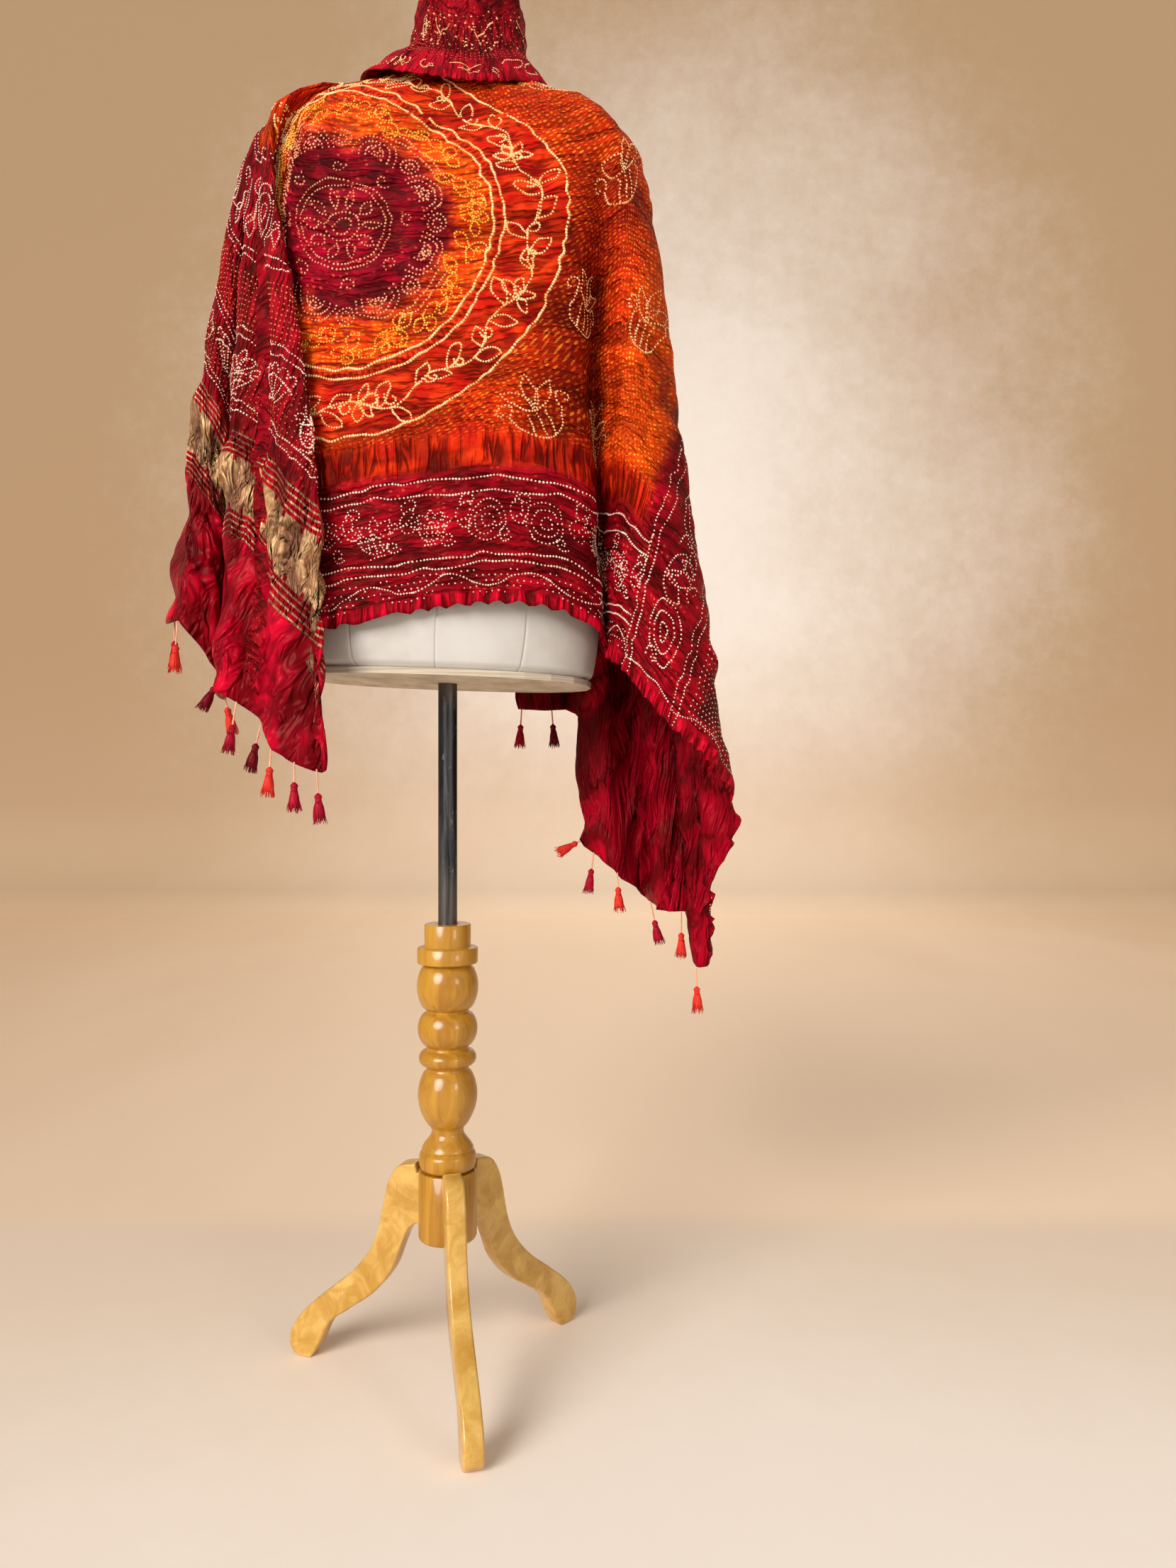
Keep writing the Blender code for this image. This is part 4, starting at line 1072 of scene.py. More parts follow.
class Value:
    """A number or a link in a material, on which Python's operators add Math nodes."""

    def __init__(self, graph, socket):
        self.graph, self.socket = graph, socket

    def math(self, operation, *others):
        return self.graph.add("ShaderNodeMath", {"operation": operation}, self, *others)

    def __add__(self, other):
        return self.math("ADD", other)

    def __sub__(self, other):
        return self.math("SUBTRACT", other)

    def __mul__(self, other):
        return self.math("MULTIPLY", other)

    def __truediv__(self, other):
        return self.math("DIVIDE", other)

    def __rsub__(self, other):
        return self.graph.add("ShaderNodeMath", {"operation": "SUBTRACT"}, other, self)

    def __neg__(self):
        return self * -1.0

    def __pow__(self, other):
        return self.math("POWER", other)

    __radd__ = __add__
    __rmul__ = __mul__

    def least(self, other):
        return self.math("MINIMUM", other)

    def most(self, other):
        return self.math("MAXIMUM", other)

    def absolute(self):
        return self.math("ABSOLUTE")

    def fraction(self):
        return self.math("FRACT")

    def step(self, start, end):
        """0 at start and 1 at end, smooth between them; start may be the larger."""
        low, high, first, last = (start, end, 0.0, 1.0) if start < end else (end, start, 1.0, 0.0)
        settings = {"interpolation_type": "SMOOTHSTEP"}
        return self.graph.add("ShaderNodeMapRange", settings, self, low, high, first, last)


class Graph:
    """A material's nodes, added one call at a time."""

    def __init__(self, name, **fixed):
        self.material = bpy.data.materials.new(name)
        self.material.use_nodes = True
        self.tree = self.material.node_tree
        self.shader = self.tree.nodes["Principled BSDF"]
        for label, value in fixed.items():
            self.feed(self.shader.inputs[label.replace("_", " ")], value)

    def add(self, kind, settings, *inputs, out=0, **named):
        node = self.tree.nodes.new(kind)
        for label, value in settings.items():
            setattr(node, label, value)
        for key, value in [*enumerate(inputs), *((k.replace("_", " "), v) for k, v in named.items())]:
            if value is not None:
                self.feed(node.inputs[key], value)
        return Value(self, node.outputs[out])

    def feed(self, socket, value):
        if isinstance(value, Value):
            self.tree.links.new(value.socket, socket)
        elif isinstance(value, tuple) and len(value) == 3 and socket.type == "RGBA":
            socket.default_value = (*value, 1.0)
        else:
            socket.default_value = value

    def mix(self, share, first, second, blend="MIX"):
        """A colour between two colours."""
        node = self.tree.nodes.new("ShaderNodeMix")
        node.data_type = "RGBA"
        node.blend_type = blend
        self.feed(node.inputs[0], share)
        self.feed(node.inputs[6], first)
        self.feed(node.inputs[7], second)
        return Value(self, node.outputs[2])

    def tinted(self, share, colour, tint):
        """A colour, and by the share that colour multiplied by a tint."""
        return self.mix(share, colour, self.mix(1.0, colour, tint, "MULTIPLY"))

    def place(self):
        """The place on the piece, from Object coordinates."""
        return self.add("ShaderNodeTexCoord", {}, out=3)

    def bands(self, place, way, scale):
        """Sine waves that follow one another along an axis."""
        settings = {"wave_type": "BANDS", "bands_direction": way}
        return self.add("ShaderNodeTexWave", settings, Vector=place, Scale=scale)

    def puffs(self, vector, detail, roughness, distortion):
        """Rounded ridges: how far a noise is from its middle, so 0 along winding valleys."""
        return (self.noise(vector, 1.0, detail, roughness, distortion) - 0.5).absolute()

    def vector(self, x, y, z=0.0):
        return self.add("ShaderNodeCombineXYZ", {}, x, y, z)

    def parts(self, vector):
        node = self.add("ShaderNodeSeparateXYZ", {}, vector).socket.node
        return [Value(self, node.outputs[k]) for k in range(3)]

    def noise(self, vector, scale, detail=3.0, roughness=0.5, distortion=0.0):
        settings = {"noise_dimensions": "3D"}
        return self.add("ShaderNodeTexNoise", settings, Vector=vector, Scale=scale, Detail=detail,
                        Roughness=roughness, Distortion=distortion)

    def bump(self, height, strength, distance, normal=None):
        return self.add("ShaderNodeBump", {}, Strength=strength, Distance=distance, Height=height,
                        Normal=normal)

    def finish(self, colour, roughness=None, normal=None):
        self.feed(self.shader.inputs["Base Color"], colour)
        if roughness is not None:
            self.feed(self.shader.inputs["Roughness"], roughness)
        if normal is not None:
            self.feed(self.shader.inputs["Normal"], normal)
        return self.material


def sheet_uv(g):
    """The sheet's u and v as two values, from its own UV map."""
    return g.parts(g.add("ShaderNodeUVMap", {"uv_map": "sheet"}))[:2]


CRIMSON = (0.440, 0.001, 0.012)
DARK_CRIMSON = (0.150, 0.000, 0.005)
ROSE = (0.530, 0.001, 0.017)
RED = (0.700, 0.014, 0.004)
RED_ORANGE = (0.880, 0.052, 0.003)
# Painted shadow: the dark red of the shadow band in the field.
RED_IN_SHADOW = (0.260, 0.008, 0.002)
MAROON = (0.130, 0.000, 0.006)
PLUM = (0.460, 0.000, 0.020)
GOLD = (0.720, 0.450, 0.215)
# Painted shade: the dark brown of the gold band's crumples.
GOLD_IN_SHADE = (0.270, 0.120, 0.042)


def tied_dots(g, across, along, wide, tall):
    """Dashes in the cells of a lattice, each a little off its cell's middle, and each cell's chance."""
    chance = g.add("ShaderNodeTexWhiteNoise", {"noise_dimensions": "2D"},
                   Vector=g.vector(across.math("FLOOR"), along.math("FLOOR")), out=1)
    first, second, third = g.parts(chance)
    x = across.fraction() - 0.5 + (first - 0.5) * 0.35
    y = along.fraction() - 0.5 + (second - 0.5) * 0.35
    return ((x * x) * wide + (y * y) * tall).step(0.160, 0.045), third


def dyed_silk():
    """The shawl's dyed zones, tied dots, gold band and crimped relief, alike on both faces, with painted
    shade and highlights.
    """
    g = Graph("bandhani_silk", Specular_IOR_Level=0.14, Specular_Tint=(1.0, 0.45, 0.32))
    u, v = sheet_uv(g)
    place = g.vector(u, v)
    soft = g.noise(place, 9.0, 4.0, 0.6)
    medium = g.noise(place, 34.0, 4.0, 0.6)
    wander = (soft - 0.5) * 0.05
    band_u = u + (SKEW_START - v).most(0.0) * SKEW
    height = v - ROUNDEL_V + u.most(0.0) * v.step(ROUNDEL_V, ROUNDEL_V + 0.15) * SLANT
    from_centre = ((u * u) + (height * height)) ** 0.5
    # Dyed zones of the field, and a painted shadow band in the fold to the right of the roundel.
    field = g.mix((soft + medium * 0.4).step(0.45, 0.90), RED, RED_ORANGE)
    # Painted shadow: a darker red band down the fold to the right of the roundel; it also dims the dots
    # there.
    shade = (u - 0.265 + wander).absolute().step(0.105, 0.020) * (v - 0.32).step(0.30, 0.0)
    field = g.mix(shade * 0.90, field, RED_IN_SHADOW)
    glow = (u - 0.36 + wander).step(-0.01, 0.06) * (v - 0.32 + wander).absolute().step(0.36, 0.10)
    field = g.mix(glow * 0.8, field, (0.82, 0.075, 0.002))
    band = (from_centre + wander * 0.2).step(0.158, 0.166) * from_centre.step(0.232, 0.224)
    band_colour = g.mix(medium.step(0.38, 0.75), (0.52, 0.008, 0.003), (0.90, 0.062, 0.005))
    field = g.mix(band, field, band_colour)
    # Painted shade: short dark radial strokes between the two inner rings, where the cloth puckers.
    between = from_centre.step(0.1555, 0.1575) * from_centre.step(0.1635, 0.1615)
    hatch = (height.math("ARCTAN2", u) * (160 / TAU)).fraction().step(0.42, 0.60)
    field = g.mix(between * hatch * 0.75, field, (0.25, 0.002, 0.002))
    inner = from_centre.step(0.160, 0.152)
    mottled = (soft * 0.6 + medium * 0.6).step(0.50, 0.78)
    field = g.mix(inner, field, g.mix(mottled, (0.74, 0.022, 0.003), (0.92, 0.092, 0.004)))
    du, dv = (u + wander * 0.9).absolute(), (height + wander * 0.9).absolute()
    core_shape = ((du / 0.108) ** 2.4) + ((dv / 0.096) ** 2.4) + (medium - 0.5) * 1.3
    core = core_shape.step(1.45, 0.70)
    field = g.mix(core, field, g.mix((soft * 0.5 + medium * 0.6).step(0.44, 0.74), MAROON, PLUM))
    # Crimson borders along both hems and across both ends, with a red-orange strip inside them.
    edge = v.least(SHEET_WIDTH - v) + wander * 0.12
    strip = edge.step(0.205, 0.178)
    strip_colour = g.mix(medium.step(0.3, 0.75), (0.42, 0.004, 0.002), (0.78, 0.036, 0.002))
    field = g.mix(strip, field, strip_colour)
    end = (u + wander * 0.3).step(RIGHT_END_U - 0.030, RIGHT_END_U - 0.008)
    end = end.most((u + wander * 0.3).step(LEFT_END_U + 0.030, LEFT_END_U + 0.008))
    ground = edge.step(BORDER_V + 0.016, BORDER_V - 0.002).most(end)
    crimson = g.mix((soft * 0.7 + medium * 0.5).step(0.42, 0.78), DARK_CRIMSON, CRIMSON)
    frill = edge.step(0.017, 0.010)
    flap = v.step(0.840, 0.850)
    crimson = g.mix(frill.most(flap * soft.step(0.30, 0.60)), crimson, ROSE)
    colour = g.mix(ground, field, crimson)
    # Plain satin beyond the gold band, and the far right end.
    satin = band_u.step(GOLD_U[0] + 0.004, GOLD_U[0] - 0.004)
    satin_colour = g.mix(soft.step(0.33, 0.66), (0.22, 0.000, 0.007), (0.56, 0.001, 0.022))
    colour = g.mix(satin, colour, satin_colour)
    right_plain = (u + wander * 0.3).step(0.725, 0.750)
    plain_colour = g.mix(soft.step(0.3, 0.75), (0.20, 0.000, 0.006), (0.38, 0.000, 0.014))
    colour = g.mix(right_plain, colour, plain_colour)
    # Tied dots of the field: two lattices whose rows bend with the noise, a dash in each cell.
    bend = (g.noise(place, 4.0, 2.0) - 0.5) * 0.16
    turn = math.radians(24)
    across = (u * math.cos(turn) + v * math.sin(turn) + bend) / 0.0068
    along = (v * math.cos(turn) - u * math.sin(turn) + bend * 0.8) / 0.0050
    dash, chance = tied_dots(g, across, along, 0.95, 1.6)
    outside = from_centre.step(0.224, 0.234)
    dotted = (1.0 - ground) * (1.0 - strip) * outside
    warmer = (soft * 0.7 + chance * 0.4).step(0.35, 0.75)
    dot_colour = g.mix(warmer, (0.88, 0.10, 0.006), (0.96, 0.27, 0.020))
    # Painted shade: the cloth between the dashes is darkened where it sinks between the puckered dots;
    # the next line dims the dashes in the painted shadow band.
    colour = g.tinted((1.0 - dash) * dotted * 0.50, colour, (0.48, 0.30, 0.30))
    colour = g.mix(dash * dotted * (0.45 + chance * 0.55) * (1.0 - shade * 0.45), colour, dot_colour)
    inner_dash, inner_chance = tied_dots(g, u / 0.0062 + bend * 60.0, v / 0.0050, 0.6, 2.0)
    inner_dotted = inner * (1.0 - core)
    colour = g.mix(inner_dash * inner_dotted * inner_chance * 0.8, colour, (0.96, 0.33, 0.012))
    speck, speck_chance = tied_dots(g, u / 0.0072, v / 0.0066, 2.0, 2.6)
    # Painted shadow: a band at the left end, in the deep fold between its two panels.
    painted_tuck_shadow = (v - 0.565).absolute().step(0.050, 0.030) * band_u.step(-0.44, -0.50)
    calm = (1.0 - satin) * (1.0 - frill) * (1.0 - right_plain)
    specked = (core * 0.7 + ground * 0.5 * calm) * speck_chance.step(0.55, 0.85)
    specked = specked * medium.step(0.42, 0.62)
    colour = g.mix(speck * specked, colour, (0.80, 0.15, 0.06))
    # The gold band with its red and gold stripes.
    left, right = GOLD_U
    gold = band_u.step(left - 0.001, left + 0.001) * band_u.step(right + 0.001, right - 0.001)
    from_edge = (band_u - left).absolute().least((band_u - right).absolute())
    stripe = (from_edge / 0.0072).fraction().step(0.26, 0.36) * from_edge.step(0.030, 0.027)
    weave = g.bands(place, "Y", 190.0)
    # Painted shade: the gold patched with dark brown by noise, standing in for shade in its crumples.
    gold_colour = g.mix(medium.step(0.35, 0.65), GOLD_IN_SHADE, GOLD)
    gold_colour = g.mix(weave * 0.30, gold_colour, (0.84, 0.58, 0.31))
    figure = ((v / 0.030).fraction() - 0.5).absolute().step(0.10, 0.06)
    figure = figure * from_edge.step(0.036, 0.034) * from_edge.step(0.027, 0.029)
    gold_colour = g.mix(stripe.most(figure), gold_colour, (0.38, 0.000, 0.012))
    colour = g.mix(gold, colour, gold_colour)
    # Relief: puffs along the length with sharp valleys, upright pleats, and puckered dots; painted shade
    # in the valleys and folds and painted highlights on the ridges and crowns.
    bent = g.vector(u * 17.0, v * 84.0 + wander * 60.0)
    puff = g.puffs(bent, 1.0, 0.4, 0.5)
    finer = g.puffs(g.vector(u * 30.0, v * 170.0 + wander * 120.0), 1.0, 0.5, 0.5)
    crimps = puff.step(0.0, 0.17) * 0.75 + finer.step(0.0, 0.14) * 0.25
    pleat = g.puffs(g.vector(u * 85.0, v * 14.0), 2.0, 0.5, 0.4).step(0.0, 0.16)
    gathered = g.puffs(g.vector(u * 46.0, v * 20.0), 2.0, 0.5, 0.4).step(0.0, 0.16)
    smooth = (satin + right_plain * 0.8 + gold).least(1.0)
    upright_part = (strip * (1.0 - ground)).most(frill) * (1.0 - smooth)
    collar = v.step(0.790, 0.815) * (u + 0.60).step(0.0, 0.1)
    crease = g.parts(g.mix(collar, g.mix(upright_part, crimps, pleat), gathered))[0]
    rough_part = (1.0 - smooth) * (1.0 - dotted * 0.35)
    # Painted shade: the colour darkened in the crinkles' valleys.
    painted_valley_shade = crease.step(0.42, 0.04) * rough_part * (1.0 - flap * 0.6)
    colour = g.tinted(painted_valley_shade * 0.80, colour, (0.22, 0.10, 0.14))
    # Painted highlight: the colour lightened on the crinkles' ridges.
    painted_ridge_highlight = crease.step(0.70, 0.98) * rough_part
    colour = g.tinted(painted_ridge_highlight * 0.35, colour, (1.35, 1.7, 1.4))
    folds = g.puffs(g.vector(u * 13.0 - v * 8.0, v * 32.0 + u * 13.0), 2.0, 0.5, 0.8)
    dents = g.puffs(g.vector(u * 18.0 + v * 8.0, v * 58.0 - u * 20.0), 2.0, 0.5, 0.9)
    relief = g.bump(crease * (1.0 - smooth), 1.0, 0.0042)
    relief = g.bump(folds.step(0.0, 0.2) * smooth, 1.0, 0.0060, relief)
    rise = g.add("ShaderNodeAttribute", {"attribute_name": "rise"}, out=2)
    relief = g.bump(dents.step(0.0, 0.16) * gold, 1.0, 0.0030, relief)
    # Painted shade: the colour darkened where the cloth dips below its crinkles, in the satin's folds,
    # in the gold's dents and in the deep fold at the left end.
    painted_dip_shade = rise.step(-0.05, -0.95) * (0.60 + smooth * 0.25)
    painted_hollow_shade = (folds.step(0.06, 0.0) * smooth * (0.7 - right_plain * 0.25)).most(painted_dip_shade)
    painted_hollow_shade = painted_hollow_shade.most(dents.step(0.05, 0.0) * gold * 0.85).most(painted_tuck_shadow * 0.6)
    colour = g.tinted(painted_hollow_shade, colour, (0.26, 0.14, 0.18))
    # Painted highlight: the colour lightened where the cloth rises on its crinkles; lift is the
    # highlight's tint, with its own tint on the gold.
    painted_crown_highlight = rise.step(0.15, 0.95) * (0.30 + smooth * 0.5)
    lift = g.mix(gold, (1.50, 1.90, 1.70), (1.35, 1.32, 1.25))
    colour = g.tinted(painted_crown_highlight, colour, lift)
    relief = g.bump(dash * dotted, 0.7, 0.0014, relief)
    relief = g.bump(g.noise(place, 900.0, 2.0), 0.10, 0.0004, relief)
    roughness = 0.54 - smooth * 0.20 + crimps * 0.08
    g.feed(g.shader.inputs["Metallic"], gold * (1.0 - stripe) * 0.20)
    return g.finish(colour, roughness, relief)


def dot_silk(name, light, dark):
    """Undyed silk in the heart of a tied dot, a little uneven."""
    g = Graph(name, Specular_IOR_Level=0.15)
    place = g.place()
    patch = g.noise(place, 60.0, 2.0)
    return g.finish(g.mix(patch.step(0.3, 0.7), dark, light), 0.55 + patch * 0.1)


def tassel_silk(name, light, dark):
    """Glossy silk thread: fine strands down the skirt and a soft change of shade."""
    g = Graph(name, Specular_IOR_Level=0.2, Specular_Tint=(1.0, 0.5, 0.4))
    place = g.place()
    x, y, z = g.parts(place)
    threads = g.noise(g.vector(x * 1400.0, y * 1400.0, z * 60.0), 1.0, 2.0)
    patch = g.noise(place, 120.0, 2.0)
    colour = g.mix((threads * 0.7 + patch * 0.4).step(0.35, 0.75), dark, light)
    return g.finish(colour, 0.36 + threads * 0.2, g.bump(threads, 0.5, 0.0004))


def cotton_cover():
    """The form's stretched cover: a plain weave, faint grime low down and soft dimples."""
    g = Graph("cotton_cover", Roughness=0.85, Sheen_Weight=0.15)
    place = g.place()
    z = g.parts(place)[2]
    soft = g.noise(place, 6.0, 4.0, 0.6)
    grime = g.noise(place, 22.0, 5.0, 0.65).step(0.45, 0.8) * z.step(1.0, 0.83)
    colour = g.mix(soft.step(0.3, 0.8), (0.53, 0.50, 0.46), (0.62, 0.595, 0.56))
    colour = g.mix(grime * 0.5, colour, (0.50, 0.45, 0.38))
    relief = g.bump(g.bands(place, "Z", 420.0) * g.bands(place, "X", 420.0), 0.25, 0.0003)
    relief = g.bump(g.noise(place, 45.0, 3.0), 0.25, 0.0015, relief)
    return g.finish(colour, 0.82 + soft * 0.1, relief)


def raw_board():
    """Pale board edge with a fine grain and a few scuffs."""
    g = Graph("raw_board", Roughness=0.7)
    place = g.place()
    x, y, z = g.parts(place)
    grain = g.noise(g.vector(x * 14.0, y * 14.0, z * 900.0), 1.0, 4.0)
    colour = g.mix(grain.step(0.3, 0.7), (0.42, 0.34, 0.24), (0.62, 0.54, 0.42))
    return g.finish(colour, 0.65 + grain * 0.2, g.bump(grain, 0.3, 0.0006))


def varnished_wood(name, dark, light, upright=True):
    """Honey coloured hardwood under gloss varnish: long grain, pores and worn lighter patches."""
    g = Graph(name, Coat_Weight=0.6, Coat_Roughness=0.10, Specular_IOR_Level=0.3)
    place = g.place()
    x, y, z = g.parts(place)
    across, along = (60.0, 5.0) if upright else (26.0, 26.0)
    stretched = g.vector(x * across, y * across, z * along)
    grain = g.noise(stretched, 1.0, 5.0, 0.6, 1.2)
    pores = g.noise(g.vector(x * 700.0, y * 700.0, z * 40.0), 1.0, 2.0)
    patch = g.noise(place, 7.0, 3.0)
    colour = g.mix(grain.step(0.32, 0.70), dark, light)
    colour = g.mix(patch.step(0.5, 0.8) * 0.4, colour, (0.68, 0.39, 0.07))
    colour = g.mix(pores.step(0.60, 0.75) * 0.35, colour, (0.30, 0.12, 0.018))
    relief = g.bump(grain, 0.10, 0.0006)
    relief = g.bump(pores, 0.08, 0.0003, relief)
    return g.finish(colour, 0.30 + patch * 0.12, relief)


def worn_steel():
    """A dark tube: bluish gloss where it is rubbed, dull brown-grey scuffs, and chips."""
    g = Graph("worn_steel", Roughness=0.3, Metallic=0.75)
    place = g.place()
    x, y, z = g.parts(place)
    streak = g.noise(g.vector(x * 90.0, y * 90.0, z * 7.0), 1.0, 5.0, 0.65, 0.6)
    chip = g.noise(g.vector(x * 160.0, y * 160.0, z * 60.0), 1.0, 4.0, 0.7)
    colour = g.mix(streak.step(0.38, 0.66), (0.012, 0.013, 0.016), (0.085, 0.085, 0.090))
    colour = g.mix(chip.step(0.60, 0.68) * 0.8, colour, (0.26, 0.22, 0.18))
    ends = z.step(0.62, 0.56).most(z.step(0.78, 0.81))
    colour = g.mix(ends * streak.step(0.3, 0.6) * 0.6, colour, (0.16, 0.14, 0.12))
    roughness = 0.22 + streak * 0.35 + chip.step(0.60, 0.68) * 0.3
    return g.finish(colour, roughness, g.bump(chip, 0.25, 0.0006))


def studio_paper():
    """The paper of floor and backdrop: pale underfoot, warm beige further back, with painted light and
    shade.

    The beige starts 0.45 m behind the stand and is mottled, painted lighter round a point 2.2 m up and
    darker to the sides and the top. Its tone low on the wall and on the floor under it is painted to
    even out their light, and the floor is painted lighter near the stand, a painted pool of light.
    """
    g = Graph("studio_paper", Roughness=0.9, Specular_IOR_Level=0.2)
    place = g.place()
    x, y, z = g.parts(place)
    patch = g.noise(place, 0.9, 6.0, 0.62)
    grain = g.noise(place, 11.0, 8.0, 0.75)
    # Painted light and shade: the wall lighter round a point 2.2 m up and darker away from it, mottled
    # by noise.
    aside = x - 0.5
    above = z - 2.2
    away = ((aside * aside) + (above * above) * 0.6) ** 0.5
    share = (away * 0.46 + (patch - 0.5) * 0.7 + (grain - 0.5) * 0.45).step(0.10, 1.45)
    wall = g.mix(share, (0.80, 0.740, 0.680), (0.430, 0.290, 0.170))
    stretched = g.noise(g.vector(x * 0.8, y * 0.22, z * 0.9), 1.0, 5.0, 0.6)
    # Painted shade: darker to the sides, mottled by stretched noise.
    side_shade_and_mottle = (aside.absolute() * 0.30 + (stretched - 0.5) * 0.5).step(0.0, 1.0)
    upright = g.mix(side_shade_and_mottle, (0.66, 0.515, 0.375), (0.47, 0.330, 0.210))
    flat = g.mix(side_shade_and_mottle, (0.97, 0.760, 0.560), (0.70, 0.500, 0.330))
    # Painted tone that evens out the light between the upright wall, its curve and the floor under it.
    wall = g.mix(z.step(1.7, 0.0) * 0.9, wall, upright)
    wall = g.mix((1.0 - (z.most(0.0) / 0.10) ** 0.5).most(0.0), wall, flat)
    # Painted pool of light: the floor lighter near the stand and towards the middle, darker to the
    # sides.
    near = (y + (patch - 0.5) * 0.3).step(AXIS[1] + 0.60, AXIS[1] - 0.45)
    light = near * 0.7 + (grain - 0.5) * 0.25 + (patch - 0.5) * 0.5 - (x - 0.35).absolute() * 0.35 + 0.25
    floor = g.mix(light.step(0.0, 1.0), (0.84, 0.680, 0.530), (0.99, 0.895, 0.800))
    behind = (y + (patch - 0.5) * 0.05).step(AXIS[1] + 0.38, AXIS[1] + 0.52)
    return g.finish(g.mix(behind, floor, wall), 0.92)


def make_pole(shade):
    """The steel tube, from its seat in the column up to the form's board, with eased ends."""
    low, high = 500.3, 1000 * pole_high.z
    profile = [(0.5, low), (10.4, low), (11.2, low + 0.8), (11.2, high - 0.8), (10.4, high), (0.5, high)]
    lathe("steel_pole", profile, shade, "steel", "pole", count=64)


def make_cap(shade):
    """The turned cap on the neck, domed, with a bead at its rim."""
    profile = [(0.5, 0.0), (50.0, 0.0), (50.5, 0.6), (50.5, 4.4), (50.0, 5.4), (48.2, 6.0)]
    profile += [(48.4, 7.0), (47.6, 8.8), (46.0, 11.0), (41.0, 13.6), (34.0, 15.9)]
    profile += [(26.0, 17.2), (16.0, 18.0), (0.5, 18.0)]
    profile = [(r, z + 1000 * CAP_HEIGHT) for r, z in profile]
    lathe("neck_cap_turned", profile, shade, "wood", "neck_cap", leaning=True)


def make_studio(shade):
    """Floor and backdrop in one sweep: flat, a quarter circle, then upright."""
    near, back, radius, top = -7.0, 5.2, 0.60, 7.0
    a = np.linspace(0, 0.5 * math.pi, 24)
    y = np.concatenate([[near], back - radius + radius * np.sin(a), [back]]) + AXIS[1]
    z = np.concatenate([[0.0], radius - radius * np.cos(a), [top]])
    x = np.array([-8.0, 8.0])
    points = np.stack(np.broadcast_arrays(x[None, :], y[:, None], z[:, None]), axis=-1)
    mesh = bpy.data.meshes.new("studio_sweep")
    mesh.from_pydata(points.reshape(-1, 3), [], grid_faces(len(y), 2).tolist())
    mesh.shade_smooth()
    sweep = bpy.data.objects.new("studio_sweep", mesh)
    bpy.context.scene.collection.objects.link(sweep)
    mesh.materials.append(shade)


def aim(light, look):
    """Turns a light so that it shines along a direction."""
    yaw = math.atan2(look[1], look[0])
    pitch = math.atan2(look[2], math.hypot(look[0], look[1]))
    light.rotation_euler = (pitch + 0.5 * math.pi, 0, yaw - 0.5 * math.pi)


def make_light(name, kind, power, colour, place, look):
    """A light at a place that shines along a direction; returns its data for its size."""
    data = bpy.data.lights.new(name, kind)
    data.energy = power
    data.color = colour
    light = bpy.data.objects.new(name, data)
    bpy.context.scene.collection.objects.link(light)
    light.location = place
    aim(light, look)
    return data


def make_sun(name, look, strength, spread):
    """Even soft light from one side; spread is how many degrees of sky it fills."""
    data = make_light(name, "SUN", strength, (1.0, 0.97, 0.94), (0, -2, 3), look)
    data.angle = math.radians(spread)


def make_panel(name, place, target, size, power):
    """A square soft light at a place, aimed at a point, for the gloss on wood and steel."""
    look = [t - p for p, t in zip(place, target)]
    data = make_light(name, "AREA", power, (1.0, 0.98, 0.95), place, look)
    data.shape = "SQUARE"
    data.size = size


def make_camera():
    """The photograph's level camera, 0.70 m above the floor and a little right of the stand."""
    data = bpy.data.cameras.new("camera")
    data.sensor_width = 36.0
    data.lens = 25.272
    camera = bpy.data.objects.new("camera", data)
    bpy.context.scene.collection.objects.link(camera)
    camera.location = (AXIS[0] + 0.1665, AXIS[1] - 1.3063, 0.70)
    camera.rotation_euler = (0.5 * math.pi, 0, 0)
    bpy.context.scene.camera = camera


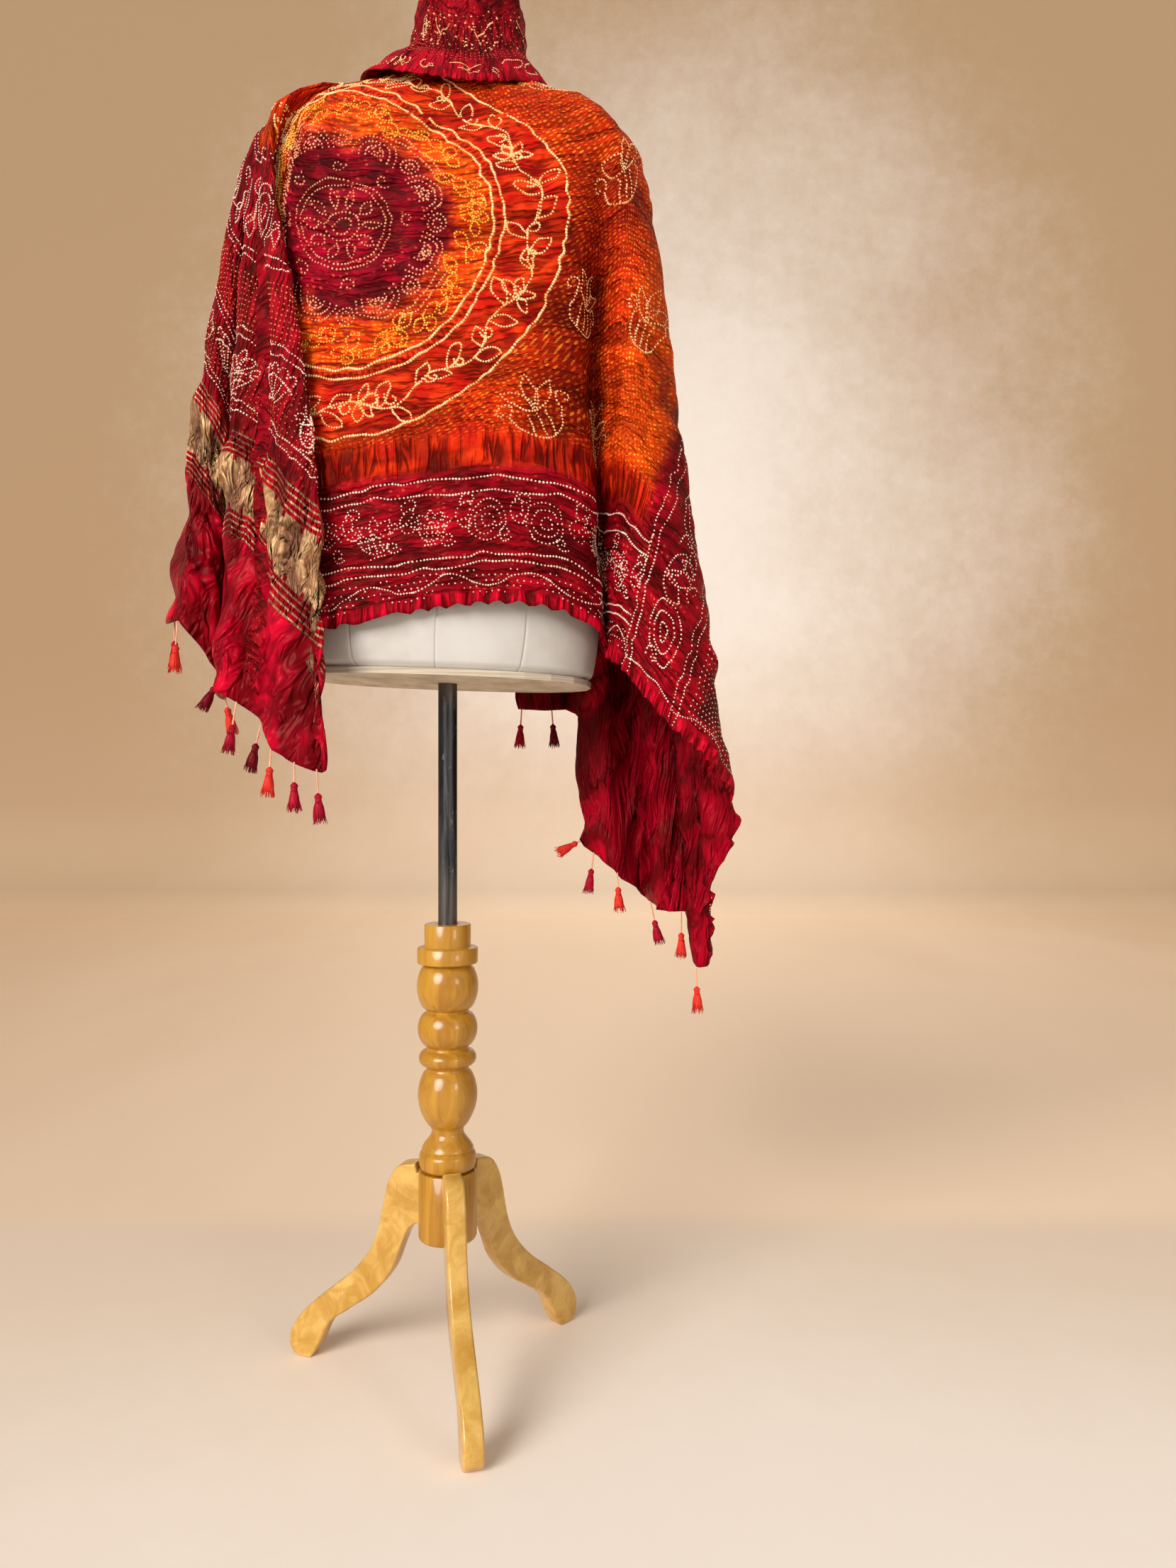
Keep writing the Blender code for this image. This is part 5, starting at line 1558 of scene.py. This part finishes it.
def make_pattern(cloth):
    """Every line and dot of the pattern, strung in the dye's own shades."""
    pale = dot_silk("undyed_dots", (1.00, 0.86, 0.70), (0.90, 0.55, 0.40))
    warm = dot_silk("warm_dots", (0.88, 0.36, 0.13), (0.72, 0.14, 0.06))
    yellow = dot_silk("yellow_dots", (1.00, 0.74, 0.36), (0.97, 0.52, 0.16))
    amber = dot_silk("amber_dots", (1.00, 0.58, 0.08), (0.97, 0.36, 0.02))
    rose = dot_silk("rose_dots", (0.86, 0.15, 0.10), (0.66, 0.04, 0.04))
    rings, creeper, vine, core = roundel_lines()
    pairs, figures, hem_wave, hem_specks = border_lines()
    curls, strokes, large, collar_rows = collar_lines()
    raise_dots("roundel_dots", cloth, [
        strung(rings, 0.0028, 0.00205), strung(creeper, 0.0028, 0.00165)], yellow)
    raise_dots("vine_dots", cloth, [strung(vine, 0.0029, 0.00150)], amber)
    raise_dots("border_dots", cloth, [
        strung(pairs, 0.0036, 0.00155), strung(figures, 0.0040, 0.00118)], pale)
    raise_dots("hem_dots", cloth, [
        strung(hem_wave, 0.0031, 0.00130), Dots(hem_specks, 0.00115)], pale)
    raise_dots("collar_dots", cloth, [
        strung(curls + strokes, 0.0036, 0.00135), Dots(large, 0.00165)], field_shade())
    raise_dots("collar_rows", cloth, [Dots(collar_rows, 0.00110)], rose)
    raise_dots("end_dots", cloth, [
        strung(end_lines(), 0.0037, 0.00135), Dots(dot_grid(0.612, 0.705, 0.0064), 0.00125)], pale)
    raise_dots("end_warm_dots", cloth, [
        Dots(dot_grid(-0.500, -0.428, 0.0068), 0.00120),
        Dots(dot_grid(-0.596, -0.532, 0.0072, True), 0.00100)], warm)
    raise_dots("core_dots", cloth, [strung(core, 0.0037, 0.00150)],
               dot_silk("core_dots_silk", (0.98, 0.52, 0.30), (0.86, 0.26, 0.12)))
    raise_dots("field_dots", cloth, [strung(field_figures(), 0.0033, 0.00155)], field_shade())


def field_shade():
    """The pale orange of the field's own dots."""
    return dot_silk("field_dots_silk", (0.98, 0.66, 0.36), (0.90, 0.40, 0.14))


def main():
    make_camera()
    cloth = Cloth()
    shawl = make_cloth(cloth, dyed_silk())
    make_pattern(cloth)
    silks = {
        "tassel_bright": tassel_silk("bright_thread", (0.85, 0.055, 0.030), (0.52, 0.012, 0.012)),
        "tassel_deep": tassel_silk("deep_thread", (0.50, 0.006, 0.030), (0.20, 0.001, 0.012)),
        "tassel_dark": tassel_silk("dark_thread", (0.22, 0.003, 0.014), (0.07, 0.001, 0.005)),
    }
    cord_silk = tassel_silk("cord_thread", (0.90, 0.52, 0.34), (0.70, 0.28, 0.17))
    tassels = [make_tassel(i, t, silks[t.shade], cord_silk) for i, t in enumerate(TASSELS)]
    make_torso(cotton_cover())
    wood = varnished_wood("varnished_wood", (0.36, 0.150, 0.008), (0.52, 0.250, 0.018))
    make_column(wood)
    make_hub(wood)
    leg_wood = varnished_wood("varnished_leg", (0.50, 0.255, 0.035), (0.70, 0.430, 0.110), upright=False)
    for name, degrees in LEG_ANGLES.items():
        make_leg(name, degrees, leg_wood)
    make_pole(worn_steel())
    make_cap(wood)
    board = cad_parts["base_board"]
    board.data.materials.clear()
    board.data.materials.append(raw_board())
    make_studio(studio_paper())
    make_sun("key", (0.50, 0.75, -0.44), 2.9, 36)
    make_sun("fill", (-0.70, 0.65, -0.30), 0.30, 60)
    make_panel("gloss_left", (-1.2, -1.9, 1.5), (0, 0, 0.6), 0.7, 9)
    make_panel("gloss_right", (1.5, -1.6, 1.0), (0, 0, 0.6), 0.5, 5)
    world = bpy.data.worlds.new("studio")
    world.use_nodes = True
    world.node_tree.nodes["Background"].inputs["Color"].default_value = (0.95, 0.90, 0.84, 1)
    world.node_tree.nodes["Background"].inputs["Strength"].default_value = 0.30
    bpy.context.scene.world = world
    bpy.context.scene.view_settings.view_transform = "Standard"


main()
